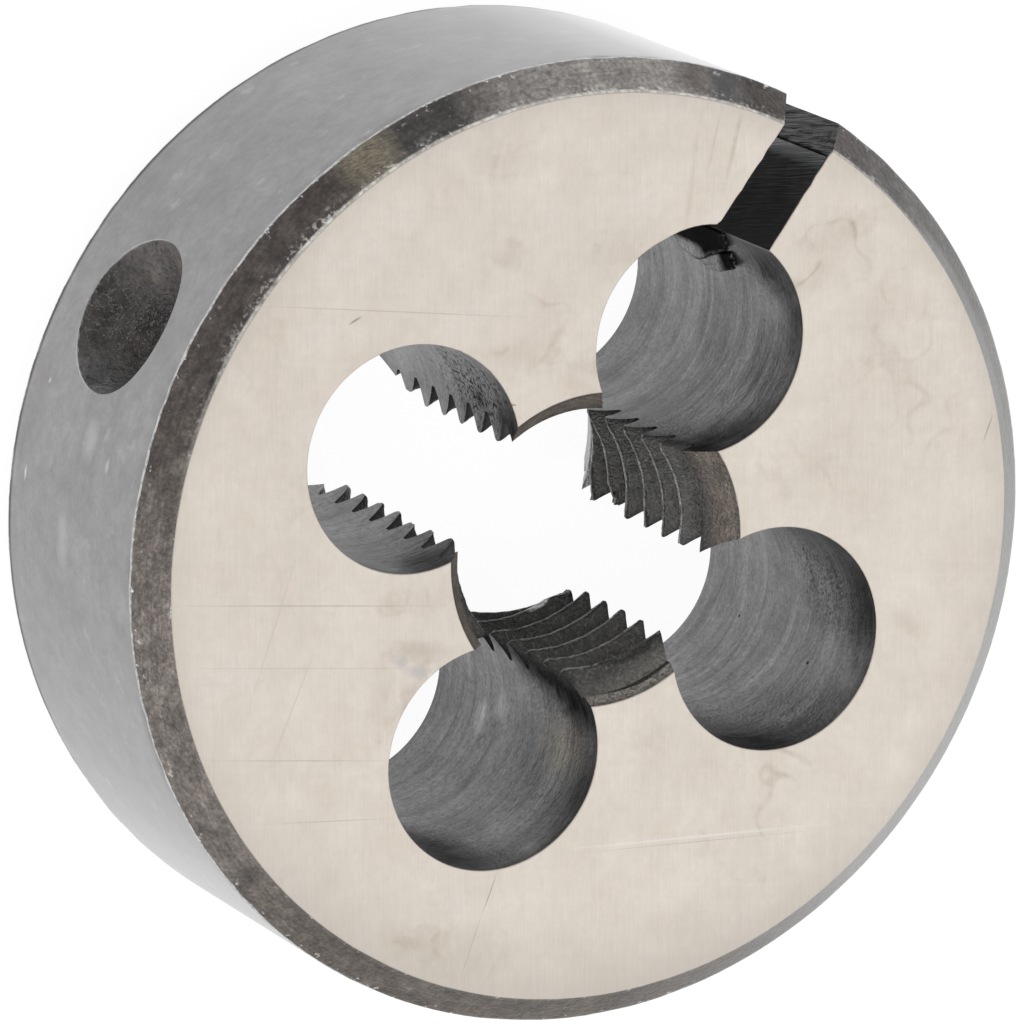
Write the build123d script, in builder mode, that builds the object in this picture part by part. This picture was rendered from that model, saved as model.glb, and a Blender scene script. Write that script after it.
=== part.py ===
"""Split round threading die, one piece of hardened high-speed steel.

A turned disc carries a threaded bore, countersunk at both faces. Four chip holes break into the
bore and leave four lands of cutting teeth. A saw slot opens one chip hole to the rim, so that the
die can be closed or spread a little by the screws of its holder, which bear in two rim dimples.

Frame: the die lies on its back face, with the origin at the middle of that face, +Z up along the
thread's axis and the slot towards +Y. Millimetres.
"""

import os
from math import ceil, radians, tan

from build123d import *

os.makedirs("parts", exist_ok=True)

# Disc
body_diameter = 25.4
body_thickness = 9.525
rim_chamfer = 0.794

# Thread: right-hand, of a fine inch pitch. The teeth stand back from the rod's nominal thread by an
# allowance, and the tapping ran a little off the disc's axis.
rod_diameter = 7.9375
cutting_allowance = 0.1
thread_pitch = 25.4 / 24
thread_angle = 60.0
tooth_crest_flat = thread_pitch / 8
tooth_root_flat = thread_pitch / 8
first_crest_drop = 1.535  # from the front face down to the first whole crest beside the slot
thread_runout = 0.12

# Throats: the countersinks that lead the rod in, short at the front and long at the back. An angle
# is between the cone's side and the axis. The back throat is ground with relief: on each land its
# cone is set over, so that the throat falls away behind the cutting edge.
front_throat_diameter = 8.32
front_throat_angle = 45.0
back_throat_diameter = 9.4
back_throat_angle = 24.0
back_throat_relief = 0.95

# Chip holes
chip_hole_count = 4
chip_hole_diameter = 5.953
chip_circle_diameter = 11.906

# Slot: it leans a little off the radius and flares on one side just under the rim. Its bearing is
# anticlockwise from +X, and its offset is from the radius to its middle, where it leaves the rim.
slot_bearing = 90.0
slot_width = 1.588
slot_lean = 6.5
slot_offset = 0.26
slot_flare_depth = 0.93
slot_flare_angle = 12.0

# Dimples for the holder's screws, a quarter turn either side of the slot
dimple_diameter = 4.5
dimple_angle = 90.0

# How far a cutter runs past the surface that it opens
overrun = 0.5

body_radius = body_diameter / 2
chip_circle_radius = chip_circle_diameter / 2
land_angle = 360 / chip_hole_count
land_rise = thread_pitch / chip_hole_count
flank_slope = tan(radians(thread_angle / 2))
tooth_depth = (thread_pitch - tooth_crest_flat - tooth_root_flat) / (2 * flank_slope)
root_radius = rod_diameter / 2 + cutting_allowance
crest_radius = root_radius - tooth_depth


with BuildPart() as groove_stretch:
    # The groove between two turns of teeth, from the middle of one chip hole to the next. Its
    # section stands over +X with its middle at height 0, and dips a little inside the crests.
    groove_dip = tooth_crest_flat / (4 * flank_slope)
    inner_half = tooth_root_flat / 2 + (tooth_depth + groove_dip) * flank_slope
    with BuildSketch(Plane.XZ):
        Polygon(
            (crest_radius - groove_dip, -inner_half),
            (root_radius, -tooth_root_flat / 2),
            (root_radius, tooth_root_flat / 2),
            (crest_radius - groove_dip, inner_half),
            align=None,
        )
    with BuildLine() as land_helix:
        Helix(pitch=thread_pitch, height=land_rise, radius=crest_radius)
    sweep(path=land_helix.line, is_frenet=True)


with BuildPart() as back_throat_share:
    # One land's share of the back throat, from the middle of one chip hole to the next
    back_slope = tan(radians(back_throat_angle))
    back_mouth = back_throat_diameter / 2
    trailing_way = Vector(1, 0, 0).rotate(Axis.Z, land_angle / 2 + 90)
    with Locations(trailing_way * back_throat_relief - Vector(0, 0, overrun)):
        Cone(
            bottom_radius=back_mouth + overrun * back_slope,
            top_radius=0,
            height=back_mouth / back_slope + overrun,
            align=(Align.CENTER, Align.CENTER, Align.MIN),
        )
    with BuildSketch():
        sector_end = Vector(body_diameter, 0, 0).rotate(Axis.Z, land_angle)
        Polygon((0, 0), (body_diameter, 0), (sector_end.X, sector_end.Y), align=None)
    extrude(amount=body_thickness, both=True, mode=Mode.INTERSECT)


with BuildPart() as die_body:
    # Turned blank with both rims chamfered. Its seam is turned to where the slot cuts it away, so
    # that the rim is one face.
    Cylinder(
        body_radius,
        body_thickness,
        rotation=(0, 0, slot_bearing),
        align=(Align.CENTER, Align.CENTER, Align.MIN),
    )
    chamfer(die_body.edges().filter_by(GeomType.CIRCLE), rim_chamfer)

    # Bore at the teeth's crests
    with Locations((-thread_runout, 0)):
        Hole(crest_radius)

    # Front throat, a whole cone with its point on the axis
    with BuildSketch(Plane.XZ):
        front_slope = tan(radians(front_throat_angle))
        front_mouth = front_throat_diameter / 2
        Polygon(
            (0, body_thickness - front_mouth / front_slope),
            (front_mouth + overrun * front_slope, body_thickness + overrun),
            (0, body_thickness + overrun),
            align=None,
        )
    revolve(axis=Axis.Z, mode=Mode.SUBTRACT)

    # Back throat, a share for each land
    with PolarLocations(0, chip_hole_count, start_angle=slot_bearing):
        add(back_throat_share.part, mode=Mode.SUBTRACT)

    # Chip holes, which part the bore's wall into lands
    with PolarLocations(chip_circle_radius, chip_hole_count, start_angle=slot_bearing):
        Hole(chip_hole_diameter / 2)

    # Thread: the groove climbs round the bore from land to land, past both faces
    top_groove = body_thickness - first_crest_drop + thread_pitch / 2
    bottom_groove = top_groove - ceil(top_groove / thread_pitch + 1) * thread_pitch
    stretch_count = ceil((body_thickness + thread_pitch - bottom_groove) / land_rise)
    with Locations(
        *[
            Location(
                (-thread_runout, 0, bottom_groove + turn * land_rise),
                (0, 0, slot_bearing + turn * land_angle),
            )
            for turn in range(stretch_count)
        ]
    ):
        add(groove_stretch.part, mode=Mode.SUBTRACT)

    # Slot, from the middle of its chip hole out through the rim
    outward = Vector(1, 0, 0).rotate(Axis.Z, slot_bearing)
    sideways = Vector(0, 1, 0).rotate(Axis.Z, slot_bearing)
    slot_frame = Plane(
        origin=outward * body_radius - sideways * slot_offset,
        x_dir=outward.rotate(Axis.Z, -slot_lean),
        z_dir=(0, 0, 1),
    )
    with BuildSketch(slot_frame):
        slot_flare = (slot_flare_depth + overrun) * tan(radians(slot_flare_angle))
        Polygon(
            (chip_circle_radius - body_radius, slot_width / 2),
            (chip_circle_radius - body_radius, -slot_width / 2),
            (-slot_flare_depth, -slot_width / 2),
            (overrun, -slot_width / 2 - slot_flare),
            (overrun, slot_width / 2),
            align=None,
        )
    extrude(amount=body_thickness, mode=Mode.SUBTRACT)

    # Dimples, drilled with a pointed bit at half the height of the rim
    dimple_slope = tan(radians(dimple_angle / 2))
    dimple_depth = dimple_diameter / 2 / dimple_slope
    with PolarLocations(body_radius - dimple_depth, 2, start_angle=slot_bearing + 90):
        with Locations(Location((0, 0, body_thickness / 2), (0, 90, 0))):
            Cone(
                bottom_radius=0,
                top_radius=(dimple_depth + overrun) * dimple_slope,
                height=dimple_depth + overrun,
                align=(Align.CENTER, Align.CENTER, Align.MIN),
                mode=Mode.SUBTRACT,
            )

die_body.part.label = "die_body"
export_step(die_body.part, "parts/die_body.step")
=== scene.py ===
import math

import bmesh
import bpy
from mathutils import Matrix, Vector, noise
from mathutils.geometry import delaunay_2d_cdt


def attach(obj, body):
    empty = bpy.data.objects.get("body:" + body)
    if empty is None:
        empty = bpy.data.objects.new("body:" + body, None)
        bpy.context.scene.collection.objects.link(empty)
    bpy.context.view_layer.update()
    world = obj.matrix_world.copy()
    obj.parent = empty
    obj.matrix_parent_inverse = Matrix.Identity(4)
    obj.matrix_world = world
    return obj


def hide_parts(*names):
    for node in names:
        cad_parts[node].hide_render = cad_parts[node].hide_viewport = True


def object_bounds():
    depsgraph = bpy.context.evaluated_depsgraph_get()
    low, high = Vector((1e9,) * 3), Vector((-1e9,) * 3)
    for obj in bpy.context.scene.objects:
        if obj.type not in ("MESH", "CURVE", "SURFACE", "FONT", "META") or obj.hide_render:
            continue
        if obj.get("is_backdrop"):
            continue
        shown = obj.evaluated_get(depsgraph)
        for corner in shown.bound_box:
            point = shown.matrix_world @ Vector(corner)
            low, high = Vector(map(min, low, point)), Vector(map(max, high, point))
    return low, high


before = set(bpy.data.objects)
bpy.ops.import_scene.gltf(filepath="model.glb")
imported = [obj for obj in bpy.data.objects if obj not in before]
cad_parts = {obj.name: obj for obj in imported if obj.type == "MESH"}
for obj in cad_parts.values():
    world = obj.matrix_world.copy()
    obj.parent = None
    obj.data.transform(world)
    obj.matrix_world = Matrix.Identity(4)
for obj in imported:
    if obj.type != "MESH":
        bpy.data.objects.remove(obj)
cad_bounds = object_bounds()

# The studio: the die lies on its back face on a white table, under a soft white sky with two broad
# lamps. The table is white to the camera, and keeps a share of its shading for the die's shadow.
scene = bpy.context.scene
scene.view_settings.view_transform = "Standard"
mm = 0.001
sky_strength = 0.45
table_glow = 0.945
table_shading = 0.14
table_half = 0.6
table_drop = 0.00002


def place(tree, kind, inputs=None, **settings):
    """Puts a node in the tree, with its settings, and with values or readings on its inputs."""
    node = tree.nodes.new(kind)
    for name, value in settings.items():
        setattr(node, name, value)
    for name, value in (inputs or {}).items():
        if isinstance(name, int):
            socket = node.inputs[name]
        else:
            socket = next(s for s in node.inputs if s.name == name and s.enabled)
        if isinstance(value, Reading):
            tree.links.new(value.socket, socket)
        elif isinstance(value, bpy.types.NodeSocket):
            tree.links.new(value, socket)
        else:
            socket.default_value = value
    return node


class Reading:
    """A value in a node tree, which is reckoned with as a number is."""

    def __init__(self, tree, socket):
        self.tree = tree
        self.socket = socket

    def reckon(self, operation, *others, clamp=False):
        values = dict(enumerate((self, *others)))
        node = place(self.tree, "ShaderNodeMath", values, operation=operation, use_clamp=clamp)
        return Reading(self.tree, node.outputs[0])

    def __add__(self, other):
        return self.reckon("ADD", other)

    def __sub__(self, other):
        return self.reckon("SUBTRACT", other)

    def __mul__(self, other):
        return self.reckon("MULTIPLY", other)

    def __truediv__(self, other):
        return self.reckon("DIVIDE", other)

    def scaled(self, factor, start, clamp=False):
        """This times a factor, counted from a start."""
        return self.reckon("MULTIPLY_ADD", factor, start, clamp=clamp)

    def above(self, other):
        return self.reckon("MAXIMUM", other)

    def below(self, other):
        return self.reckon("MINIMUM", other)

    def root(self):
        return self.above(0.0).reckon("SQRT")

    def share(self, start, end):
        """0 where this is at start and 1 where it is at end, held between."""
        return ((self - start) / (end - start)).reckon("ADD", 0.0, clamp=True)

    def line(self, width):
        """1 where this is one half, as along the contour of a noise, and 0 a width away."""
        return (self - 0.5).reckon("ABSOLUTE").share(width, 0.0)


def gray(value):
    return (value, value, value, 1.0)


def new_material(name):
    material = bpy.data.materials.new(name)
    material.use_nodes = True
    material.node_tree.nodes.clear()
    return material, material.node_tree


def seen_straight(tree):
    """1 to the camera and in reflections, and 0 to the light that falls on the die."""
    paths = place(tree, "ShaderNodeLightPath")
    seen = Reading(tree, paths.outputs["Is Camera Ray"])
    seen = seen.above(Reading(tree, paths.outputs["Is Glossy Ray"]))
    return seen.above(Reading(tree, paths.outputs["Is Transmission Ray"]))


table_material, tree = new_material("table_white")
seen = seen_straight(tree)
board = place(tree, "ShaderNodeBsdfDiffuse", {"Color": gray(0.9)})
shaded = place(tree, "ShaderNodeBsdfDiffuse", {"Color": gray(table_shading)})
glow = place(tree, "ShaderNodeEmission", {"Color": gray(1.0), "Strength": table_glow})
bright = place(tree, "ShaderNodeAddShader", {0: shaded.outputs[0], 1: glow.outputs[0]})
mixed = place(tree, "ShaderNodeMixShader", {0: seen, 1: board.outputs[0], 2: bright.outputs[0]})
place(tree, "ShaderNodeOutputMaterial", {"Surface": mixed.outputs[0]})

table_mesh = bpy.data.meshes.new("studio_table")
table_corners = ((-1, -1), (1, -1), (1, 1), (-1, 1))
table_mesh.from_pydata(
    [(x * table_half, y * table_half, -table_drop) for x, y in table_corners], [], [(0, 1, 2, 3)]
)
table_mesh.materials.append(table_material)
table = bpy.data.objects.new("studio_table", table_mesh)
scene.collection.objects.link(table)
table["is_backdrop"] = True

sky = bpy.data.worlds.new("studio_sky")
sky.use_nodes = True
tree = sky.node_tree
tree.nodes.clear()
strength = seen_straight(tree) * (1.0 - sky_strength) + sky_strength
background = place(tree, "ShaderNodeBackground", {"Color": gray(1.0), "Strength": strength})
place(tree, "ShaderNodeOutputWorld", {"Surface": background.outputs[0]})
scene.world = sky


def hang_lamp(name, where, size, power):
    """A square lamp that faces the die."""
    light = bpy.data.lights.new(name, "AREA")
    light.shape = "SQUARE"
    light.size = size
    light.energy = power
    lamp = bpy.data.objects.new(name, light)
    lamp.location = where
    lamp.rotation_mode = "QUATERNION"
    lamp.rotation_quaternion = (-Vector(where)).to_track_quat("-Z", "Y")
    scene.collection.objects.link(lamp)


hang_lamp("key_lamp", (0.16, -0.12, 0.56), 0.39, 0.54)
hang_lamp("side_lamp", (-0.18, -0.385, 0.425), 0.35, 0.6)

# The camera looks down on the die from the left, turned so that the slot lies at the upper right
camera_place = (-0.112975, 0.000028, 0.206941)
view_right = Vector((0.7822, 0.4447, 0.4365)).normalized()
view_back = Vector((-0.4875, 0.0005, 0.8731))
view_back = (view_back - view_right * view_back.dot(view_right)).normalized()
view_up = view_back.cross(view_right)
lens = bpy.data.cameras.new("camera")
lens.lens = 311.85
lens.sensor_width = 36.0
lens.clip_start = 0.01
lens.clip_end = 10.0
camera = bpy.data.objects.new("camera", lens)
view_turn = Matrix((view_right, view_up, view_back)).transposed()
camera.matrix_world = Matrix.Translation(camera_place) @ view_turn.to_4x4()
scene.collection.objects.link(camera)
scene.camera = camera


# The steel as the heat treatment and the grinder left it. These effects are shared by the faces,
# the rim and the holes: streaks of the tools, blotches of scale, specks and rubbed edges.
def new_group(name, inputs, outputs):
    """A shader group with named inputs and outputs. Returns its tree and its input readings."""
    tree = bpy.data.node_groups.new(name, "ShaderNodeTree")
    for label, (kind, value) in inputs.items():
        socket = tree.interface.new_socket(label, in_out="INPUT", socket_type=kind)
        if value is not None:
            socket.default_value = value
    for label in outputs:
        tree.interface.new_socket(label, in_out="OUTPUT", socket_type="NodeSocketFloat")
    entry = tree.nodes.new("NodeGroupInput")
    return tree, {label: Reading(tree, entry.outputs[label]) for label in inputs}


def close_group(tree, outputs):
    place(tree, "NodeGroupOutput", outputs)


def drawn_noise(tree, spot, seed, detail=2.0):
    """A noise at a spot of its own, in four dimensions, of which the last is the seed."""
    values = {"Vector": spot, "W": seed, "Scale": 1.0, "Detail": detail, "Roughness": 0.6}
    return Reading(
        tree, place(tree, "ShaderNodeTexNoise", values, noise_dimensions="4D").outputs[0]
    )


def shrunk(tree, where, size):
    """The places in a group, measured in pieces of a size."""
    spread = place(tree, "ShaderNodeVectorMath", {0: where}, operation="SCALE")
    tree.links.new(size.reckon("POWER", -1.0).socket, spread.inputs[3])
    return spread.outputs[0]


def along_bearing(tree, spots, bearing, length, width, height):
    """Places measured along a bearing, across it and upwards, each by a size of its own."""
    azimuth = bearing * math.pi / 180.0
    cosine, sine = azimuth.reckon("COSINE"), azimuth.reckon("SINE")
    axes = {
        "X": {"X": cosine / length, "Y": sine / length},
        "Y": {"X": sine * -1.0 / width, "Y": cosine / width},
        "Z": {"Z": height.reckon("POWER", -1.0)},
    }
    axes = {label: place(tree, "ShaderNodeCombineXYZ", parts) for label, parts in axes.items()}
    measured = []
    for spot in spots:
        legs = {}
        for label, axis in axes.items():
            values = {0: spot, 1: axis.outputs[0]}
            leg = place(tree, "ShaderNodeVectorMath", values, operation="DOT_PRODUCT")
            legs[label] = leg.outputs["Value"]
        measured.append(place(tree, "ShaderNodeCombineXYZ", legs).outputs[0])
    return measured


# Streaks: noise drawn out along one bearing, as a grinding wheel or a drill leaves it
tree, given = new_group(
    "tool_streaks",
    {
        "Vector": ("NodeSocketVector", None),
        "Bearing": ("NodeSocketFloat", 0.0),
        "Length": ("NodeSocketFloat", 4.0),
        "Width": ("NodeSocketFloat", 0.05),
        "Seed": ("NodeSocketFloat", 0.0),
    },
    ["Streaks"],
)
sizes = (given["Length"], given["Width"], given["Width"])
drawn = along_bearing(tree, [given["Vector"]], given["Bearing"], *sizes)
close_group(tree, {"Streaks": drawn_noise(tree, drawn[0], given["Seed"])})

# Upright streaks: the same on the walls of a saw cut, where the marks run down through the disc
tree, given = new_group(
    "upright_streaks",
    {
        "Vector": ("NodeSocketVector", None),
        "Length": ("NodeSocketFloat", 2.0),
        "Width": ("NodeSocketFloat", 0.05),
        "Tilt": ("NodeSocketFloat", 0.0),
        "Seed": ("NodeSocketFloat", 0.0),
    },
    ["Streaks"],
)
parts = place(tree, "ShaderNodeSeparateXYZ", {"Vector": given["Vector"]})
x, y, z = (Reading(tree, parts.outputs[n]) for n in range(3))
drawn = place(
    tree,
    "ShaderNodeCombineXYZ",
    {
        "X": x / given["Width"],
        "Y": (y + z * given["Tilt"]) / given["Width"],
        "Z": z / given["Length"],
    },
)
close_group(tree, {"Streaks": drawn_noise(tree, drawn.outputs[0], given["Seed"])})

# Blotches: soft islands of stain or scale
tree, given = new_group(
    "blotches",
    {
        "Vector": ("NodeSocketVector", None),
        "Size": ("NodeSocketFloat", 2.0),
        "Cover": ("NodeSocketFloat", 0.5),
        "Softness": ("NodeSocketFloat", 0.1),
        "Detail": ("NodeSocketFloat", 4.0),
        "Seed": ("NodeSocketFloat", 0.0),
    },
    ["Mask"],
)
spot = shrunk(tree, given["Vector"], given["Size"])
level = drawn_noise(tree, spot, given["Seed"], given["Detail"])
slope = given["Softness"].reckon("POWER", -1.0)
mask = level.scaled(slope, (given["Cover"] - 1.0) * slope + 0.5, clamp=True)
close_group(tree, {"Mask": mask})

# Specks: small scattered dots, which vary in size
tree, given = new_group(
    "specks",
    {
        "Vector": ("NodeSocketVector", None),
        "Spacing": ("NodeSocketFloat", 0.3),
        "Size": ("NodeSocketFloat", 0.2),
        "Seed": ("NodeSocketFloat", 0.0),
    },
    ["Mask"],
)
spot = shrunk(tree, given["Vector"], given["Spacing"])
cells = place(
    tree,
    "ShaderNodeTexVoronoi",
    {"Vector": spot, "W": given["Seed"], "Scale": 1.0},
    voronoi_dimensions="4D",
)
tone = place(tree, "ShaderNodeSeparateColor", {0: cells.outputs["Color"]})
reach = given["Size"] * Reading(tree, tone.outputs[0])
mask = ((reach - Reading(tree, cells.outputs["Distance"])) / 0.06).reckon("ADD", 0.0, clamp=True)
close_group(tree, {"Mask": mask})

# Rubbed edge: bright steel where scale has come off an edge, ragged by noise
tree, given = new_group(
    "rubbed_edge",
    {
        "Vector": ("NodeSocketVector", None),
        "Rubbed": ("NodeSocketFloat", 0.0),
        "Reach": ("NodeSocketFloat", 0.5),
        "Raggedness": ("NodeSocketFloat", 0.5),
        "Grain": ("NodeSocketFloat", 0.15),
    },
    ["Mask"],
)
spot = shrunk(tree, given["Vector"], given["Grain"])
rag = place(
    tree,
    "ShaderNodeTexNoise",
    {"Vector": spot, "Scale": 1.0, "Detail": 3.0, "Roughness": 0.65},
)
worn = given["Rubbed"] + (Reading(tree, rag.outputs[0]) - 0.5) * given["Raggedness"]
mask = ((worn - 1.0 + given["Reach"]) / 0.15).reckon("ADD", 0.0, clamp=True)
close_group(tree, {"Mask": mask})


# Patch: one stain, scar or scratch, an oval with a ragged edge that lies at its own place
tree, given = new_group(
    "patch",
    {
        "Vector": ("NodeSocketVector", None),
        "X": ("NodeSocketFloat", 0.0),
        "Y": ("NodeSocketFloat", 0.0),
        "Z": ("NodeSocketFloat", 0.0),
        "Bearing": ("NodeSocketFloat", 0.0),
        "Length": ("NodeSocketFloat", 1.0),
        "Width": ("NodeSocketFloat", 1.0),
        "Height": ("NodeSocketFloat", 100.0),
        "Softness": ("NodeSocketFloat", 0.5),
        "Raggedness": ("NodeSocketFloat", 0.3),
    },
    ["Mask"],
)
middle = place(tree, "ShaderNodeCombineXYZ", {label: given[label] for label in "XYZ"})
ends = [given["Vector"], middle.outputs[0]]
sizes = (given["Length"], given["Width"], given["Height"])
ends = dict(enumerate(along_bearing(tree, ends, given["Bearing"], *sizes)))
reach = place(tree, "ShaderNodeVectorMath", ends, operation="DISTANCE").outputs["Value"]
rag = place(
    tree,
    "ShaderNodeTexNoise",
    {"Vector": given["Vector"], "Scale": 2.5, "Detail": 4.0, "Roughness": 0.65},
)
reach = (Reading(tree, rag.outputs[0]) - 0.5).scaled(given["Raggedness"] * 2.0, reach)
slope = given["Softness"].reckon("POWER", -1.0)
close_group(tree, {"Mask": reach.scaled(slope * -1.0, slope, clamp=True)})


class Finish:
    """A steel finish: a Principled shader, whose colour is laid on coat by coat under masks."""

    def __init__(self, name, color, roughness, metallic):
        self.material, self.tree = new_material(name)
        spot = place(self.tree, "ShaderNodeTexCoord")
        scaled = place(
            self.tree, "ShaderNodeVectorMath", {0: spot.outputs["Object"], 3: 1.0 / mm},
            operation="SCALE",
        )
        self.where = scaled.outputs[0]
        parts = place(self.tree, "ShaderNodeSeparateXYZ", {"Vector": self.where})
        self.x, self.y, self.z = (Reading(self.tree, parts.outputs[i]) for i in range(3))
        self.color = None
        self.base = color
        self.roughness = None
        self.base_roughness = roughness
        self.metallic = metallic
        self.shine = 0.5
        self.mirror_tint = (1.0, 1.0, 1.0, 1.0)
        self.height = None
        self.gloss = None

    def group(self, name, **inputs):
        """Places a shared effect with its own values, and returns its first output."""
        node = self.tree.nodes.new("ShaderNodeGroup")
        node.node_tree = bpy.data.node_groups[name]
        for label, value in inputs.items():
            socket = node.inputs[label]
            if isinstance(value, Reading):
                self.tree.links.new(value.socket, socket)
            else:
                socket.default_value = value
        if "Vector" in node.inputs:
            self.tree.links.new(self.where, node.inputs["Vector"])
        return Reading(self.tree, node.outputs[0])

    def attribute(self, name):
        node = place(self.tree, "ShaderNodeAttribute", attribute_name=name)
        return Reading(self.tree, node.outputs["Fac"])

    def rings(self, spacing, seed, drift=1.5):
        """Fine lines round the upright walls, as turning and drilling leave them."""
        spot = place(
            self.tree,
            "ShaderNodeCombineXYZ",
            {"X": self.x / drift, "Y": self.y / drift, "Z": (self.z + self.x * 0.02) / spacing},
        )
        return drawn_noise(self.tree, spot.outputs[0], seed)

    def toward(self, bearing, start, end):
        """Runs from 0 to 1 round the disc, by how near a place's bearing is to the given one."""
        azimuth = math.radians(bearing)
        reach = (self.x * self.x + self.y * self.y).root()
        near = (self.x * math.cos(azimuth) + self.y * math.sin(azimuth)) / reach
        return near.share(math.cos(math.radians(start)), math.cos(math.radians(end)))

    def coat(self, mask, color, roughness=None):
        """Lays a colour, and a roughness with it, where the mask says."""
        node = place(
            self.tree,
            "ShaderNodeMix",
            {0: mask, 6: self.base if self.color is None else self.color, 7: color},
            data_type="RGBA",
        )
        self.color = node.outputs[2]
        if roughness is not None:
            start = self.base_roughness if self.roughness is None else self.roughness
            mix = place(self.tree, "ShaderNodeMix", {0: mask, 2: start, 3: roughness})
            self.roughness = mix.outputs[0]

    def tint(self, reading, low, high):
        """Darkens and lightens the colour by a factor that runs from low to high."""
        factor = reading.scaled(high - low, low)
        node = place(
            self.tree,
            "ShaderNodeVectorMath",
            {0: self.base[:3] if self.color is None else self.color, 3: factor},
            operation="SCALE",
        )
        self.color = node.outputs[0]

    def dull_black_coat(self, mask, color):
        """Lays a dull black coat, which mirrors almost nothing of the bright surroundings. It is
        used both for painted shade and for dark marks of the steel.
        """
        self.coat(mask, color, 0.6)
        mix = place(self.tree, "ShaderNodeMix", {0: mask, 2: self.metallic, 3: 1.0})
        self.metallic = mix.outputs[0]
        values = {0: mask, 6: self.mirror_tint, 7: gray(0.45)}
        mix = place(self.tree, "ShaderNodeMix", values, data_type="RGBA")
        self.mirror_tint = mix.outputs[2]

    def rise(self, reading, height):
        """Adds to the relief: height in mm where the reading is 1."""
        step = reading * height
        self.height = step if self.height is None else self.height + step

    def sheen_at_low_angles(self, amount):
        """A glossy skin that shows only where the surface is seen at a low angle."""
        weight = place(self.tree, "ShaderNodeLayerWeight", {"Blend": 0.5})
        away = Reading(self.tree, weight.outputs["Facing"])
        self.gloss = (away * away * away * amount).below(1.0)

    def done(self):
        inputs = {
            "Base Color": self.base if self.color is None else self.color,
            "Roughness": self.base_roughness if self.roughness is None else self.roughness,
            "Metallic": self.metallic,
            "Specular IOR Level": self.shine,
            "Specular Tint": self.mirror_tint,
        }
        if self.gloss is not None:
            inputs["Coat Weight"] = self.gloss
            inputs["Coat Roughness"] = 0.3
        if self.height is not None:
            values = {"Strength": 1.0, "Distance": mm, "Height": self.height}
            bump = place(self.tree, "ShaderNodeBump", values)
            inputs["Normal"] = bump.outputs[0]
        shader = place(self.tree, "ShaderNodeBsdfPrincipled", inputs)
        place(self.tree, "ShaderNodeOutputMaterial", {"Surface": shader.outputs[0]})
        return self.material


# The four cutting lands: hardened teeth, tapped and left dark by the heat treatment. The groove
# climbs from land to land as one right-hand helix, and both throats cut its ends away.
pitch = 25.4 / 24
body_thickness = 9.525
edge_break = 0.02
chip_circle_radius = 5.953
chip_hole_radius = 2.9765
thread_runout = 0.12
first_crest_height = body_thickness - 1.535
land_bearings = (135, 225, 315, 405)
land_columns = 40
levels_a_turn = 20
first_level = -178
last_level = 34
levels = last_level - first_level
sheet_width = 3
land_sizes = {
    "Pitch": pitch,
    "Crest radius": 3.325,
    "Root radius": 4.05,
    "Crest flat": 0.06,
    "Root flat": 0.15,
    "First crest height": first_crest_height,
    "Thickness": body_thickness,
    "Edge break": edge_break,
    "Front mouth radius": 4.16,
    "Front throat slope": 1.0,
    "Back mouth radius": 4.7,
    "Back throat slope": math.tan(math.radians(24)),
    "Back throat relief": 0.95,
    "Chip circle radius": chip_circle_radius,
    "Chip hole radius": chip_hole_radius,
    "Runout": thread_runout,
    "Tear": 0.035,
    "Rounding": 0.075,
}

# Blunted and broken tips at the ends of the lands. For each land: whether it is the end at which
# the land stops, the tips' depths below the front face, and how far each tip stands back
blunt_tips = {
    135: (
        True,
        (7.5, 6.44, 5.38, 4.43, 3.29, 2.29, 1.26),
        (0.28, 0.3, 0.12, 0.14, 0.12, 0.08, 0.07),
    ),
    225: (
        False,
        (8.48, 7.71, 5.59, 4.53, 3.34, 2.3, 1.35),
        (0.38, 0.03, 0.06, 0.03, 0.24, 0.18, 0.06),
    ),
    315: (True, (6.12, 5.1, 4.06, 2.95, 2.0, 0.94), (0.27, 0.07, 0.05, 0.04, 0.07, 0.17)),
    405: (False, (6.94, 5.95, 4.89, 3.88, 2.65, 1.57), (0.15, 0.29, 0.05, 0.13, 0.09, 0.01)),
}
land_swing = 50
tip_share = 0.3
end_share = 0.09
end_blunting = 0.14


def blunting(bearing, across, turn):
    """How far the tooth's tip stands back at this place of a land, in mm."""
    azimuth = bearing + (across - 0.5) * land_swing
    depth = body_thickness - first_crest_height - pitch * (turn + (azimuth - 90) / 360)
    back = end_blunting * max(0.0, 1 - min(across, 1 - across) / end_share) ** 1.4
    at_stop, tip_depths, amounts = blunt_tips[bearing]
    distance = 1 - across if at_stop else across
    if distance < tip_share:
        fade = 1 - distance / tip_share
        for tip_depth, amount in zip(tip_depths, amounts):
            if abs(depth - tip_depth) < pitch * 0.45:
                back = max(back, amount * fade * fade * (3 - 2 * fade))
    return back


def land_sheets():
    """Plain sheets, one for each land, that carry the readings the teeth are made by."""
    mesh = bpy.data.meshes.new("land_sheets")
    places, faces, readings = [], [], []
    for bearing in land_bearings:
        start = len(places)
        for column in range(land_columns + 1):
            across = column / land_columns
            for level in range(levels):
                turn = (first_level + level + 0.5) / levels_a_turn
                places.append((across * sheet_width * mm, bearing * mm, turn * mm))
                back = blunting(bearing, across, turn)
                readings.append((across, turn, math.radians(bearing), back))
        for column in range(land_columns):
            for level in range(levels - 1):
                corner = start + column * levels + level
                faces.append((corner, corner + 1, corner + levels + 1, corner + levels))
    mesh.from_pydata(places, [], faces)
    for index, name in enumerate(("across", "turn", "land_bearing", "blunting")):
        attribute = mesh.attributes.new(name, "FLOAT", "POINT")
        attribute.data.foreach_set("value", [reading[index] for reading in readings])
    return mesh


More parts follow.
